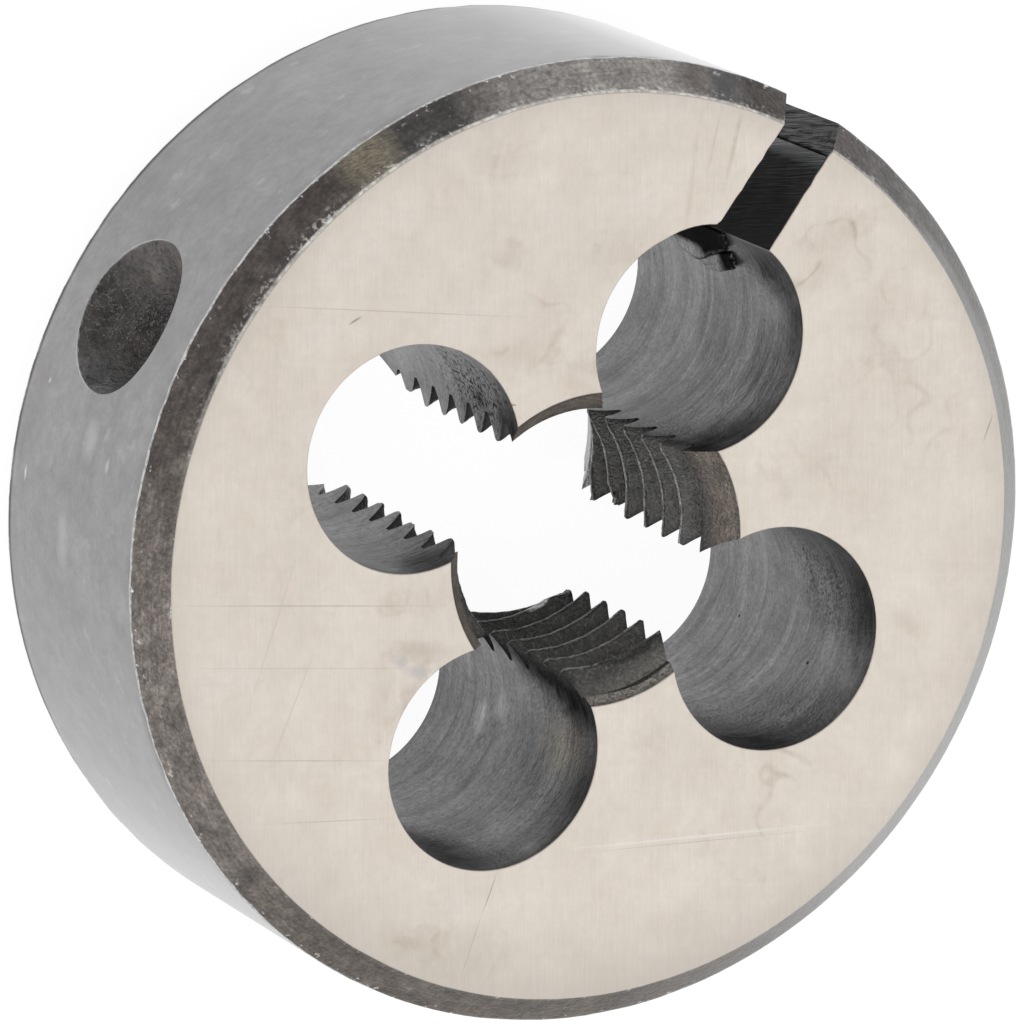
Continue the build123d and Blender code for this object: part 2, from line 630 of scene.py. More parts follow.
def offset_circle(azimuth, radius, distance, bearing):
    """Radius at an azimuth of a circle whose centre stands off the axis."""
    swing = azimuth - bearing
    side = distance * swing.reckon("SINE")
    reach = (radius.above(0.0) * radius.above(0.0) - side * side).root()
    return distance * swing.reckon("COSINE") + reach


def cutting_lands_tree(finish):
    """Geometry Nodes that draw the land sheets out into threaded lands."""
    tree = bpy.data.node_groups.new("cutting_lands", "GeometryNodeTree")
    tree.interface.new_socket("Geometry", in_out="INPUT", socket_type="NodeSocketGeometry")
    for name, value in land_sizes.items():
        socket = tree.interface.new_socket(name, in_out="INPUT", socket_type="NodeSocketFloat")
        socket.default_value = value
    tree.interface.new_socket("Geometry", in_out="OUTPUT", socket_type="NodeSocketGeometry")
    entry = tree.nodes.new("NodeGroupInput")
    size = {name: Reading(tree, entry.outputs[name]) for name in land_sizes}

    def reading(name):
        node = place(tree, "GeometryNodeInputNamedAttribute", {0: name}, data_type="FLOAT")
        return Reading(tree, node.outputs[0])

    across, turn, bearing = reading("across"), reading("turn"), reading("land_bearing")

    # The thread's own section: distance from the nearest crest, in turns
    from_crest = (turn - turn.reckon("ROUND")).reckon("ABSOLUTE")
    flank = from_crest.share(size["Crest flat"] / 2, (size["Root flat"] / -2) + 0.5)
    thread = size["Crest radius"] + (size["Root radius"] - size["Crest radius"]) * flank
    grain_at = place(
        tree,
        "ShaderNodeCombineXYZ",
        {"X": across * 12.0, "Y": turn * 9.0, "Z": bearing * 7.0},
    )
    torn = place(
        tree,
        "ShaderNodeTexNoise",
        {"Vector": grain_at.outputs[0], "Scale": 1.0, "Detail": 3.0, "Roughness": 0.6},
    )
    torn = Reading(tree, torn.outputs[0])
    tip = size["Crest radius"] + reading("blunting")
    tip = tip + (torn - 0.45).above(0.0) * size["Tear"] * 4.0
    apart = thread - tip
    rounded = (apart * apart + size["Rounding"] * size["Rounding"]).root()
    thread = (thread + tip + rounded) * 0.5 + (torn - 0.5) * size["Tear"]

    # The chip holes to either side, seen from the thread's axis with the land straight ahead
    slide_x = size["Runout"] * bearing.reckon("COSINE")
    slide_y = size["Runout"] * bearing.reckon("SINE") * -1.0
    ends = []
    for side in (-1.0, 1.0):
        x = size["Chip circle radius"] * math.cos(math.pi / 4) + slide_x
        y = size["Chip circle radius"] * side * math.sin(math.pi / 4) + slide_y
        ends.append(((x * x + y * y).root(), y.reckon("ARCTAN2", x), side))

    hole_radius = size["Chip hole radius"]

    def azimuth_at(radius):
        """Where this place of the land lies, between the chip holes, at a radius."""
        marks = []
        for distance, middle, side in ends:
            over = radius * radius + distance * distance - hole_radius * hole_radius
            cosine = over / (radius * distance * 2.0)
            marks.append(middle - cosine.reckon("ARCCOSINE") * side)
        return marks[0] + (marks[1] - marks[0]) * across

    relief_y = slide_y + size["Back throat relief"]
    relief_distance = (slide_x * slide_x + relief_y * relief_y).root()
    relief_bearing = relief_y.reckon("ARCTAN2", slide_x)
    start_height = size["First crest height"] + turn * size["Pitch"]
    lowest = size["Edge break"]
    highest = size["Thickness"] - size["Edge break"]

    def height_at(azimuth):
        """Where this place of the land lies between the faces, as the helix has climbed there."""
        climb = (bearing + azimuth - math.pi / 2) / (2 * math.pi)
        return (start_height + climb * size["Pitch"]).above(lowest).below(highest)

    # The throats' radius depends on the height, and the height on the radius: four rounds do
    radius = thread
    for _ in range(4):
        azimuth = azimuth_at(radius)
        height = height_at(azimuth)
        front = (size["Thickness"] - height) * size["Front throat slope"]
        front = size["Front mouth radius"] - front
        back = size["Back mouth radius"] - height * size["Back throat slope"]
        throat = offset_circle(azimuth, front, size["Runout"], bearing * -1.0)
        throat = throat.above(offset_circle(azimuth, back, relief_distance, relief_bearing))
        radius = thread.above(throat)
    azimuth = azimuth_at(radius)
    height = height_at(azimuth)
    around = bearing + azimuth
    spot = place(
        tree,
        "ShaderNodeCombineXYZ",
        {
            "X": radius * around.reckon("COSINE") - size["Runout"],
            "Y": radius * around.reckon("SINE"),
            "Z": height,
        },
    )
    spot = place(tree, "ShaderNodeVectorMath", {0: spot.outputs[0], 3: mm}, operation="SCALE")
    drawn = place(
        tree,
        "GeometryNodeSetPosition",
        {"Geometry": entry.outputs["Geometry"], "Position": spot.outputs[0]},
    )
    flow = drawn.outputs[0]
    crest = from_crest.share(size["Crest flat"] * 1.5, size["Crest flat"] / 2)
    cut = (throat - thread).share(-0.01, 0.03)
    for name, value in (("crest", crest), ("throat", cut)):
        stored = place(
            tree,
            "GeometryNodeStoreNamedAttribute",
            {"Geometry": flow, "Name": name, "Value": value},
            data_type="FLOAT",
            domain="POINT",
        )
        flow = stored.outputs[0]
    flow = place(tree, "GeometryNodeRealizeInstances", {0: flow}).outputs[0]
    flow = place(tree, "GeometryNodeSetMaterial", {"Geometry": flow, "Material": finish})
    place(tree, "NodeGroupOutput", {"Geometry": flow.outputs[0]})
    return tree


teeth = Finish("tooth_steel", (0.068, 0.067, 0.064, 1.0), 0.4, 0.55)
crest = teeth.attribute("crest")
throat = teeth.attribute("throat")
across = teeth.attribute("across")
cloud = teeth.group("blotches", Size=0.4, Softness=0.6, Seed=1.0)
teeth.tint(cloud, 0.45, 1.55)
lower_land = teeth.toward(-45, 60, 50)
teeth.coat(lower_land * 0.35, (0.022, 0.021, 0.020, 1.0))
fleck = teeth.group("blotches", Size=0.11, Cover=0.4, Softness=0.2, Detail=1.5, Seed=2.0)
teeth.coat(fleck * 0.45, (0.17, 0.155, 0.14, 1.0))
# Painted shade: the flanks at each land's sides, in the notches by the chip holes, are darkened.
side = across.share(0.07, 0.01).above(across.share(0.93, 0.99))
teeth.coat(side * (crest * -1.0 + 1.0) * 0.8, gray(0.018))
front_throat = throat * teeth.z.share(5.5, 6.5) * (lower_land * -1.0 + 1.0)
near_face = throat * teeth.z.share(9.2, 9.35)
throat_skin = front_throat.above(near_face)
reach = (teeth.x * teeth.x + teeth.y * teeth.y).root()
teeth.coat(throat_skin, (0.190, 0.162, 0.138, 1.0), 0.5)
stain = teeth.group("blotches", Size=0.75, Softness=0.3, Seed=9.0)
teeth.coat(throat_skin * stain * 0.7, (0.085, 0.078, 0.064, 1.0))
mottle = teeth.group("blotches", Size=0.3, Softness=0.3, Seed=20.0)
teeth.tint((mottle - 0.5) * throat_skin + 0.5, 0.7, 1.3)
pink = teeth.group("blotches", Size=0.6, Cover=0.45, Softness=0.3, Seed=18.0)
teeth.coat(throat_skin * pink * 0.75, (0.25, 0.198, 0.180, 1.0))
teeth.coat(throat_skin * reach.share(3.85, 3.5) * 0.85, gray(0.05))
rust = teeth.group("specks", Spacing=0.15, Size=0.3, Seed=12.0)
teeth.coat(throat_skin * rust * 0.5, (0.34, 0.30, 0.27, 1.0))
flaking = throat * lower_land * teeth.z.share(8.2, 9.2) * rust
teeth.coat(flaking * 0.55, (0.36, 0.34, 0.32, 1.0))
ledge = lower_land * teeth.z.share(8.85, 9.1)
teeth.coat(ledge * (rust * 0.4 + 0.45), (0.26, 0.245, 0.225, 1.0))
teeth.coat(near_face * lower_land * (rust * 0.5 + 0.4), (0.36, 0.345, 0.32, 1.0))
pitting = teeth.group("blotches", Size=0.1, Cover=0.46, Softness=0.15, Detail=1.5, Seed=21.0)
teeth.coat(ledge * pitting * 0.7, (0.055, 0.048, 0.042, 1.0))
ragged_line = (teeth.z + mottle * 0.12 - 8.84).reckon("ABSOLUTE").share(0.09, 0.03)
teeth.coat(ragged_line * lower_land * throat * 0.85, gray(0.02))
teeth.coat(teeth.z.share(9.4, 9.49) * 0.6, (0.06, 0.052, 0.045, 1.0))
grit = teeth.group("blotches", Size=0.07, Softness=0.6, Detail=1.5, Seed=4.0)
# Partly bright cut steel, partly painted highlight: the throat cuts towards the back face, the
# lowest teeth and the bottom of the land at 45 degrees are lightened with torn streaks. One torn
# tip gets a bright painted highlight.
torn_highlight_blotches = teeth.group("blotches", Size=0.3, Cover=0.6, Softness=0.3, Seed=16.0)
upper_land = teeth.toward(46, 24, 18)
run_out = (throat * teeth.z.share(4.5, 3.5)).above(teeth.z.share(2.4, 1.6) * torn_highlight_blotches)
run_out = run_out.above(upper_land * teeth.z.share(2.55, 2.4))
streaks = teeth.rings(0.09, 19.0, 2.0)
teeth.coat(run_out * (streaks.share(0.35, 0.6) * 0.6 + 0.4), gray(0.5), 0.3)
tip_painted_highlight = teeth.group(
    "patch", X=2.63, Y=-1.9, Z=3.38, Bearing=54.0, Length=0.5, Width=0.3, Height=0.13,
    Softness=0.3, Raggedness=0.25,
)
teeth.coat(tip_painted_highlight, gray(0.8), 0.3)
teeth.tint(grit, 0.55, 1.45)
# The crest lines are lightened, partly as rubbed steel and partly as a painted highlight of the
# crests.
edge = teeth.group(
    "rubbed_edge", Rubbed=crest * (throat * -1.0 + 1.0), Reach=0.36, Raggedness=0.5, Grain=0.12
)
crest_wear_and_highlight = teeth.group("blotches", Size=0.7, Cover=0.55, Softness=0.4, Seed=17.0)
teeth.coat(edge * (crest_wear_and_highlight * 0.5 + 0.5) * (lower_land * -0.35 + 1.0), gray(0.27), 0.35)
lip = teeth.group(
    "rubbed_edge", Rubbed=teeth.attribute("rubbed"), Reach=0.3, Raggedness=0.9, Grain=0.2
)
teeth.coat(lip, gray(0.3))
teeth.rise(grit, 0.02)
teeth.rise(cloud, 0.015)
teeth_material = teeth.done()

sheets = bpy.data.objects.new("land_sheets", land_sheets())
scene.collection.objects.link(sheets)
drawing = sheets.modifiers.new("cutting_lands", "NODES")
drawing.node_group = cutting_lands_tree(teeth_material)
for item in drawing.node_group.interface.items_tree:
    if item.in_out == "INPUT" and item.name in land_sizes:
        drawing[item.identifier] = land_sizes[item.name]
depsgraph = bpy.context.evaluated_depsgraph_get()
lands_mesh = bpy.data.meshes.new_from_object(sheets.evaluated_get(depsgraph), depsgraph=depsgraph)
bpy.data.objects.remove(sheets)

die = bmesh.new()
die.from_mesh(lands_mesh)
die.verts.ensure_lookup_table()
rubbed = die.verts.layers.float.new("rubbed")
corner = die.verts.layers.float.new("corner")

# Above and below the faces a sheet's levels lie on one spot, and are welded there
lowest, highest = edge_break * mm, (body_thickness - edge_break) * mm
nearly = 1e-8
weld = {}
land_edges = {}
for index, bearing in enumerate(land_bearings):
    columns = []
    for column in range(land_columns + 1):
        start = (index * (land_columns + 1) + column) * levels
        verts = [die.verts[start + level] for level in range(levels)]
        bottom = max(n for n, vert in enumerate(verts) if vert.co.z <= lowest + nearly)
        top = min(n for n, vert in enumerate(verts) if vert.co.z >= highest - nearly)
        for vert in verts[:bottom]:
            weld[vert] = verts[bottom]
        for vert in verts[top + 1 :]:
            weld[vert] = verts[top]
        columns.append(verts[bottom : top + 1])
    land_edges[bearing] = columns
bmesh.ops.weld_verts(die, targetmap=weld)
for columns in land_edges.values():
    for column in columns:
        column[0][rubbed] = column[-1][rubbed] = 1.0

materials = [teeth_material]


def add_finish(material):
    """Gives the die one more finish, and returns its number."""
    materials.append(material)
    return len(materials) - 1


def add_vert(x, y, z, worn=0.0):
    vert = die.verts.new((x * mm, y * mm, z * mm))
    vert[rubbed] = worn
    return vert


def add_face(verts, finish):
    kept = []
    for vert in verts:
        if vert not in kept:
            kept.append(vert)
    if len(kept) > 2:
        face = die.faces.new(kept)
        face.material_index = finish
        face.smooth = True


def sew(first, second, finish):
    """Closes the strip between two columns of points, each from the back face to the front."""
    i = j = 0
    while i < len(first) - 1 or j < len(second) - 1:
        ahead_i = first[i + 1].co.z if i < len(first) - 1 else math.inf
        ahead_j = second[j + 1].co.z if j < len(second) - 1 else math.inf
        if abs(ahead_i - ahead_j) < 0.015 * mm:
            add_face((first[i], first[i + 1], second[j + 1], second[j]), finish)
            i += 1
            j += 1
        elif ahead_i < ahead_j:
            add_face((first[i], first[i + 1], second[j]), finish)
            i += 1
        else:
            add_face((first[i], second[j + 1], second[j]), finish)
            j += 1


outline = []  # the columns in order round the opening and the rim

# The chip holes: four drilled holes that break into the bore. The drill left rings in their walls,
# and the steel there is gray from the heat treatment.
hole_steel = Finish("chip_hole_steel", (0.27, 0.27, 0.275, 1.0), 0.38, 0.6)
cloud = hole_steel.group("blotches", Size=1.3, Softness=0.6, Seed=5.0)
hole_steel.tint(cloud, 0.62, 1.34)
hole_steel.shine = 0.3
coarse_rings = hole_steel.rings(0.6, 1.0, 9.0)
hole_steel.tint(coarse_rings.share(0.3, 0.7), 0.8, 1.21)
fine_rings = hole_steel.rings(0.12, 2.0, 5.0)
hole_steel.tint(fine_rings.share(0.3, 0.7), 0.955, 1.045)
broken = hole_steel.group("blotches", Size=1.6, Cover=0.55, Softness=0.3, Seed=7.0)
light_arcs = hole_steel.rings(1.1, 3.0, 14.0).line(0.03)
hole_steel.coat(light_arcs * (broken * 0.45 + 0.2), gray(0.40))
thin_arcs = hole_steel.rings(0.7, 13.0, 12.0).line(0.02)
hole_steel.coat(thin_arcs * (broken * -0.3 + 0.35), gray(0.42))
dark_arcs = hole_steel.rings(1.2, 4.0, 12.0).line(0.02)
hole_steel.coat(dark_arcs * (broken * -0.4 + 0.55), gray(0.06))
crumbs = hole_steel.group("blotches", Size=0.11, Cover=0.44, Softness=0.12, Detail=1.5, Seed=9.0)
crumbled = hole_steel.group(
    "patch", X=8.3, Y=1.85, Z=6.9, Length=1.6, Width=1.3, Height=1.9, Softness=0.4, Raggedness=0.8
)
crumbled_too = hole_steel.group(
    "patch", X=-4.3, Y=2.3, Z=7.6, Length=1.4, Width=1.2, Height=2.4, Softness=0.4, Raggedness=0.8
)
crumbled = crumbled.above(crumbled_too)
hole_steel.coat(crumbs * crumbled * 0.75, gray(0.055))
# Painted light and shade: the wall of the hole at -X is lightened towards +Y and darkened towards
# -Y.
left_hole = hole_steel.x.share(-3.5, -4.5)
hole_steel.tint(left_hole * hole_steel.y.share(1.0, 2.0), 1.0, 1.13)
hole_steel.tint(left_hole * hole_steel.y.share(-1.0, -2.0), 1.0, 0.86)
hole_steel.dull_black_coat(crumbs * crumbled_too * 0.7, gray(0.03))
# Painted shade: the wall of the hole under the slot is darkened on its side towards the bore.
hole_steel.tint(hole_steel.y.share(5.2, 3.8) * hole_steel.y.share(2.9, 3.2), 1.0, 0.86)
dented = hole_steel.group("blotches", Size=0.16, Cover=0.42, Softness=0.08, Detail=1.5, Seed=14.0)
low_wall = hole_steel.y.share(-0.6, -1.4).above(hole_steel.z.share(6.0, 8.0) * 0.5)
hole_steel.coat(dented * low_wall * 0.34, gray(0.08))
# Painted shade: the hole at -Y is darkened, except on its side towards the bore.
hole_steel.tint(hole_steel.y.share(-3.4, -5.0), 1.0, 0.84)
mottle = hole_steel.group("blotches", Size=0.4, Softness=0.5, Detail=5.0, Seed=12.0)
hole_steel.tint(mottle, 0.84, 1.16)
grit = hole_steel.group("blotches", Size=0.1, Softness=0.6, Detail=1.5, Seed=6.0)
hole_steel.tint(grit, 0.7, 1.3)
soot = hole_steel.group("blotches", Size=0.9, Cover=0.56, Softness=0.35, Seed=8.0)
mouth = hole_steel.z.share(body_thickness - 1.9, body_thickness - 0.3)
hole_steel.coat(mouth * soot * 0.8, (0.05, 0.048, 0.046, 1.0), 0.45)
brown = hole_steel.z.share(body_thickness - 0.32, body_thickness - 0.08)
hole_steel.coat(brown * 0.55, (0.10, 0.085, 0.07, 1.0), 0.5)
pit = hole_steel.group("specks", Spacing=0.6, Size=0.13, Seed=11.0)
hole_steel.coat(pit, gray(0.02), 0.6)
straw_streaks = hole_steel.rings(0.12, 5.0, 0.9).share(0.35, 0.6)
for x, y, z, bearing, length, width, height, depth, color in (
    (2.75, -4.85, 7.6, 20.0, 0.6, 1.2, 1.8, 0.8, (0.42, 0.35, 0.26, 1.0)),
    (2.85, -5.3, 2.85, 20.0, 0.8, 0.55, 0.5, 0.85, gray(0.8)),
    (2.75, -4.8, 3.85, 20.0, 0.7, 0.5, 0.5, 0.75, gray(0.7)),
    (2.4, -4.2, 5.2, 20.0, 0.7, 0.5, 1.2, 0.35, gray(0.5)),
    (2.9, -5.9, 6.2, 0.0, 0.7, 0.6, 1.6, 0.4, gray(0.06)),
    (2.95, 6.3, 7.9, 0.0, 0.7, 1.3, 0.9, 0.75, gray(0.045)),
    (8.6, 1.3, 7.7, 110.0, 1.2, 0.8, 0.7, 0.6, gray(0.08)),
    (8.7, -1.3, 7.2, 80.0, 1.4, 0.6, 1.6, 0.55, gray(0.06)),
):
    mark = hole_steel.group(
        "patch", X=x, Y=y, Z=z, Bearing=bearing, Length=length, Width=width, Height=height,
        Softness=0.8, Raggedness=0.7,
    )
    hole_steel.coat(mark * (straw_streaks * 0.75 + 0.25) * (mottle * 0.6 + 0.4) * depth, color)
# Painted shade: dark patches on the hole walls near the mouths, beside the slot and by the lands,
# streaked along the drill rings.
for x, y, z, bearing, length, width, height, depth in (
    (1.6, 8.45, 8.2, -45.0, 1.1, 0.8, 1.5, 0.8),
    (2.4, 7.6, 9.2, -60.0, 1.2, 0.7, 0.8, 0.6),
    (2.1, 3.85, 8.9, 40.0, 1.7, 0.9, 1.5, 0.75),
    (8.4, 1.6, 9.0, -60.0, 1.7, 0.9, 1.1, 0.65),
    (7.3, -2.6, 8.7, 25.0, 1.9, 0.8, 1.6, 0.8),
    (5.6, -2.95, 9.0, 0.0, 1.6, 0.6, 1.3, 0.7),
    (1.0, -8.75, 7.2, 0.0, 1.4, 0.8, 2.8, 0.75),
    (-0.5, -8.9, 8.9, 0.0, 1.6, 0.6, 1.2, 0.6),
    (2.9, -5.9, 9.2, 90.0, 1.5, 0.6, 0.8, 0.55),
    (1.1, -3.2, 4.9, 0.0, 0.7, 0.7, 1.1, 0.8),
    (1.45, -3.35, 6.2, 0.0, 0.9, 0.9, 1.5, 0.95),
    (1.7, -3.5, 7.5, 0.0, 1.0, 1.0, 1.6, 1.0),
    (1.95, -3.7, 8.7, 0.0, 1.1, 1.1, 1.6, 1.0),
    (1.2, 3.25, 6.6, 0.0, 0.4, 0.4, 0.8, 0.8),
    (1.45, 3.32, 7.8, 0.0, 0.55, 0.5, 0.9, 0.9),
    (1.7, 3.5, 8.9, 0.0, 0.7, 0.6, 0.8, 0.9),
    (-8.0, 2.1, 9.0, 0.0, 1.0, 1.0, 1.0, 0.4),
    (-3.6, 1.8, 9.0, 0.0, 0.7, 0.8, 1.0, 0.8),
    (-3.9, 2.1, 7.5, 0.0, 0.4, 0.5, 0.8, 0.45),
    (-3.9, -2.2, 8.7, 20.0, 1.2, 0.9, 1.1, 0.6),
    (-3.2, -1.0, 8.6, 70.0, 0.7, 0.6, 0.9, 0.7),
):
    shade_patch = hole_steel.group(
        "patch", X=x, Y=y, Z=z, Bearing=bearing, Length=length, Width=width, Height=height,
        Softness=0.8, Raggedness=0.45,
    )
    hole_steel.dull_black_coat(shade_patch * (straw_streaks * 0.4 + 0.6) * depth, gray(0.03))
strip = hole_steel.group(
    "rubbed_edge", Rubbed=hole_steel.attribute("corner"), Reach=0.6, Raggedness=0.5, Grain=0.25
)
hole_steel.coat(strip * 0.85, gray(0.5), 0.4)
lip = hole_steel.group(
    "rubbed_edge", Rubbed=hole_steel.attribute("rubbed"), Reach=0.3, Raggedness=1.0, Grain=0.3
)
hole_steel.coat(lip, gray(0.42), 0.35)
hole_steel.rise(coarse_rings, 0.03)
hole_steel.rise(fine_rings, 0.006)
hole_steel.rise(grit, 0.012)
hole_finish = add_finish(hole_steel.done())

wall_steps = 84
lip_height = 0.07
wall_heights = [edge_break, lip_height]
wall_heights += [
    lip_height + (body_thickness - 2 * lip_height) * n / wall_steps for n in range(1, wall_steps)
]
wall_heights += [body_thickness - lip_height, body_thickness - edge_break]
wall_step = math.radians(4)
tooth_side = math.radians(56)
ring_depth = 0.012
ring_ease = 0.3

# The chipped mouth of the hole under the slot: degrees round the hole, and mm
chip_angle = 113
chip_half_span = 26
chip_floor = 5
chip_rise = 4.5
chip_depth = 0.11


def hole_middle(bearing):
    azimuth = math.radians(bearing)
    return Vector((chip_circle_radius * math.cos(azimuth), chip_circle_radius * math.sin(azimuth)))


def wall_relief(bearing, angle, height):
    """The drill's rings in a chip hole's wall, in mm."""
    wander = noise.noise(Vector((math.cos(angle) * 1.5, math.sin(angle) * 1.5, bearing * 1.0)))
    ring = noise.noise(Vector((bearing * 0.7, wander * 0.6, height * 4.5 + wander * 0.8)))
    return ring_depth * ring


def wall_column(bearing, angle, weight=1.0):
    """One column of a chip hole's wall, at an angle round the hole."""
    middle = hole_middle(bearing)
    column = []
    for height in wall_heights:
        ease = min(1.0, min(height, body_thickness - height) / ring_ease) * weight
        radius = chip_hole_radius + wall_relief(bearing, angle, height) * ease
        if bearing == 90 and height > chip_floor:
            chipped = max(0.0, 1 - abs(math.degrees(angle) - chip_angle) / chip_half_span)
            chipped *= (height - chip_floor) / chip_rise
            radius += chip_depth * chipped * (1.5 - 0.5 * chipped)
        x = middle.x + radius * math.cos(angle)
        y = middle.y + radius * math.sin(angle)
        lip = min(height, body_thickness - height) < lip_height / 2
        column.append(add_vert(x, y, height, 1.0 if lip else 0.0))
    return column


def side_columns(bearing, edge, side):
    """Columns on the sides of the teeth, between a land's edge and the plain wall of a hole."""
    middle = hole_middle(bearing)
    inward = math.radians(bearing + 180)
    between = []
    for share in (0.2, 0.45, 0.72):
        column = []
        for vert in edge:
            leg = Vector((vert.co.x / mm - middle.x, vert.co.y / mm - middle.y))
            swing = math.atan2(leg.y, leg.x) - inward
            swing = abs((swing + math.pi) % (2 * math.pi) - math.pi)
            angle = inward + side * (swing + (tooth_side - swing) * share)
            column.append(
                add_vert(
                    middle.x + chip_hole_radius * math.cos(angle),
                    middle.y + chip_hole_radius * math.sin(angle),
                    vert.co.z / mm,
                    vert[rubbed],
                )
            )
        between.append(column)
    return between


def plain_columns(bearing, first_angle, last_angle):
    """Columns of the plain wall from one angle to another."""
    count = max(2, round((last_angle - first_angle) / wall_step))
    return [
        wall_column(
            bearing,
            first_angle + (last_angle - first_angle) * n / count,
            0.0 if n in (0, count) else 1.0,
        )
        for n in range(count + 1)
    ]


def sew_run(columns, finish):
    """Sews a run of columns on to the outline, which keeps them in order."""
    for column in columns:
        if outline:
            sew(outline[-1], column, finish)
        outline.append(column)


# The saw slot, from the chip hole above the lands out through the rim. It was cut after the heat
# treatment, and flares on one side under the rim, where a chisel spread it.
body_radius = 12.7
slot_half = 0.794
slot_lean = math.radians(6.5)
slot_out = Vector((math.sin(slot_lean), math.cos(slot_lean)))
slot_left = Vector((-slot_out.y, slot_out.x))
slot_origin = Vector((0.26, body_radius))
slot_widening = 0.08
flare_depth = 0.93
flare_slope = math.tan(math.radians(12))

slot_wall = Finish("slot_steel", gray(0.055), 0.38, 0.5)
slot_wall.shine = 0.25
saw_marks = slot_wall.group("upright_streaks", Length=3.0, Width=0.06, Tilt=-0.25, Seed=3.0)
slot_wall.tint(saw_marks.share(0.3, 0.7), 0.7, 1.35)
cloud = slot_wall.group("blotches", Size=0.8, Softness=0.5, Seed=14.0)
slot_wall.tint(cloud, 0.6, 1.4)
outwards = slot_wall.x * slot_out.x + slot_wall.y * slot_out.y - slot_origin.dot(slot_out)
uneven = slot_wall.group("blotches", Size=0.5, Softness=0.8, Seed=18.0)
outwards = outwards + uneven * 0.12
# Painted light: the slot walls from a little inside the flare's bend out to the rim are lightened,
# most towards the back face.
under_flare = outwards.share(-flare_depth - 0.4, -flare_depth + 0.02)
slot_wall.coat(under_flare * (saw_marks * 0.3 + 0.65), (0.30, 0.31, 0.315, 1.0))
deep_painted_light = under_flare * slot_wall.z.share(8.6, 6.6)
slot_wall.coat(deep_painted_light * 0.6, gray(0.8), 0.45)
slot_wall.dull_black_coat(outwards.share(-flare_depth + 0.04, -flare_depth + 0.1) * 0.8, gray(0.01))
slot_wall.coat(outwards.share(-2.6, -4.2) * 0.35, gray(0.015))
lip = slot_wall.group(
    "rubbed_edge", Rubbed=slot_wall.attribute("rubbed"), Reach=0.4, Raggedness=0.8, Grain=0.15
)
slot_wall.coat(lip, gray(0.1))
slot_wall.rise(saw_marks, 0.018)
slot_finish = add_finish(slot_wall.done())
flare_wall = Finish("flare_steel", gray(0.05), 0.42, 0.5)
flare_wall.shine = 0.25
ridges = flare_wall.group("upright_streaks", Length=1.6, Width=0.11, Tilt=-0.22, Seed=5.0)
flare_wall.tint(ridges.share(0.38, 0.62), 0.2, 1.9)
cloud = flare_wall.group("blotches", Size=0.5, Softness=0.5, Seed=15.0)
flare_wall.tint(cloud, 0.6, 1.4)
lip = flare_wall.group(
    "rubbed_edge", Rubbed=flare_wall.attribute("rubbed"), Reach=0.35, Raggedness=0.8, Grain=0.15
)
flare_wall.coat(lip, gray(0.3))
under_lip = flare_wall.x * slot_out.x + flare_wall.y * slot_out.y - slot_origin.dot(slot_out)
bitten = flare_wall.group("blotches", Size=0.3, Softness=0.8, Seed=19.0)
under_lip = under_lip - bitten * 0.1
flare_wall.dull_black_coat(under_lip.share(-flare_depth + 0.05, -flare_depth - 0.03), gray(0.006))
flare_wall.rise(ridges, 0.08)
flare_finish = add_finish(flare_wall.done())


def meets_circle(start, direction, middle, radius, outer):
    """Where a line meets a circle: the further meeting if outer, or else the nearer."""
    gap = start - middle
    half = gap.dot(direction)
    rest = math.sqrt(half * half - gap.dot(gap) + radius * radius)
    return start + direction * (-half + (rest if outer else -rest))


left_start = slot_origin + slot_left * slot_half
right_start = slot_origin - slot_left * slot_half
bend = right_start - slot_out * flare_depth
flare_way = (slot_out - slot_left * flare_slope).normalized()
slot_hole = hole_middle(90)
left_inner = meets_circle(
    left_start + slot_left * slot_widening, slot_out, slot_hole, chip_hole_radius, True
)
right_inner = meets_circle(right_start, slot_out, slot_hole, chip_hole_radius, True)
left_angle = math.atan2(left_inner.y - slot_hole.y, left_inner.x - slot_hole.x)
right_angle = math.atan2(right_inner.y - slot_hole.y, right_inner.x - slot_hole.x)

# The turned rim: a cylinder between two chamfers, all dark gray scale with rubbed edges
rim_steel = Finish("rim_steel", (0.245, 0.245, 0.248, 1.0), 0.34, 0.85)
cloud = rim_steel.group("blotches", Size=2.0, Softness=0.6, Detail=5.0, Seed=21.0)
rim_steel.tint(cloud, 0.72, 1.28)
mottle = rim_steel.group("blotches", Size=0.5, Softness=0.6, Detail=5.0, Seed=22.0)
rim_steel.tint(mottle, 0.72, 1.28)
speckle = rim_steel.group("blotches", Size=0.13, Softness=0.6, Detail=1.5, Seed=25.0)
rim_steel.tint(speckle, 0.86, 1.14)
warm = rim_steel.group("blotches", Size=1.1, Softness=0.4, Seed=26.0)
rim_steel.coat(warm * 0.35, (0.275, 0.255, 0.24, 1.0))
lilac = rim_steel.group("blotches", Size=0.9, Softness=0.4, Seed=27.0)
rim_steel.coat(lilac * 0.35, (0.235, 0.228, 0.252, 1.0))
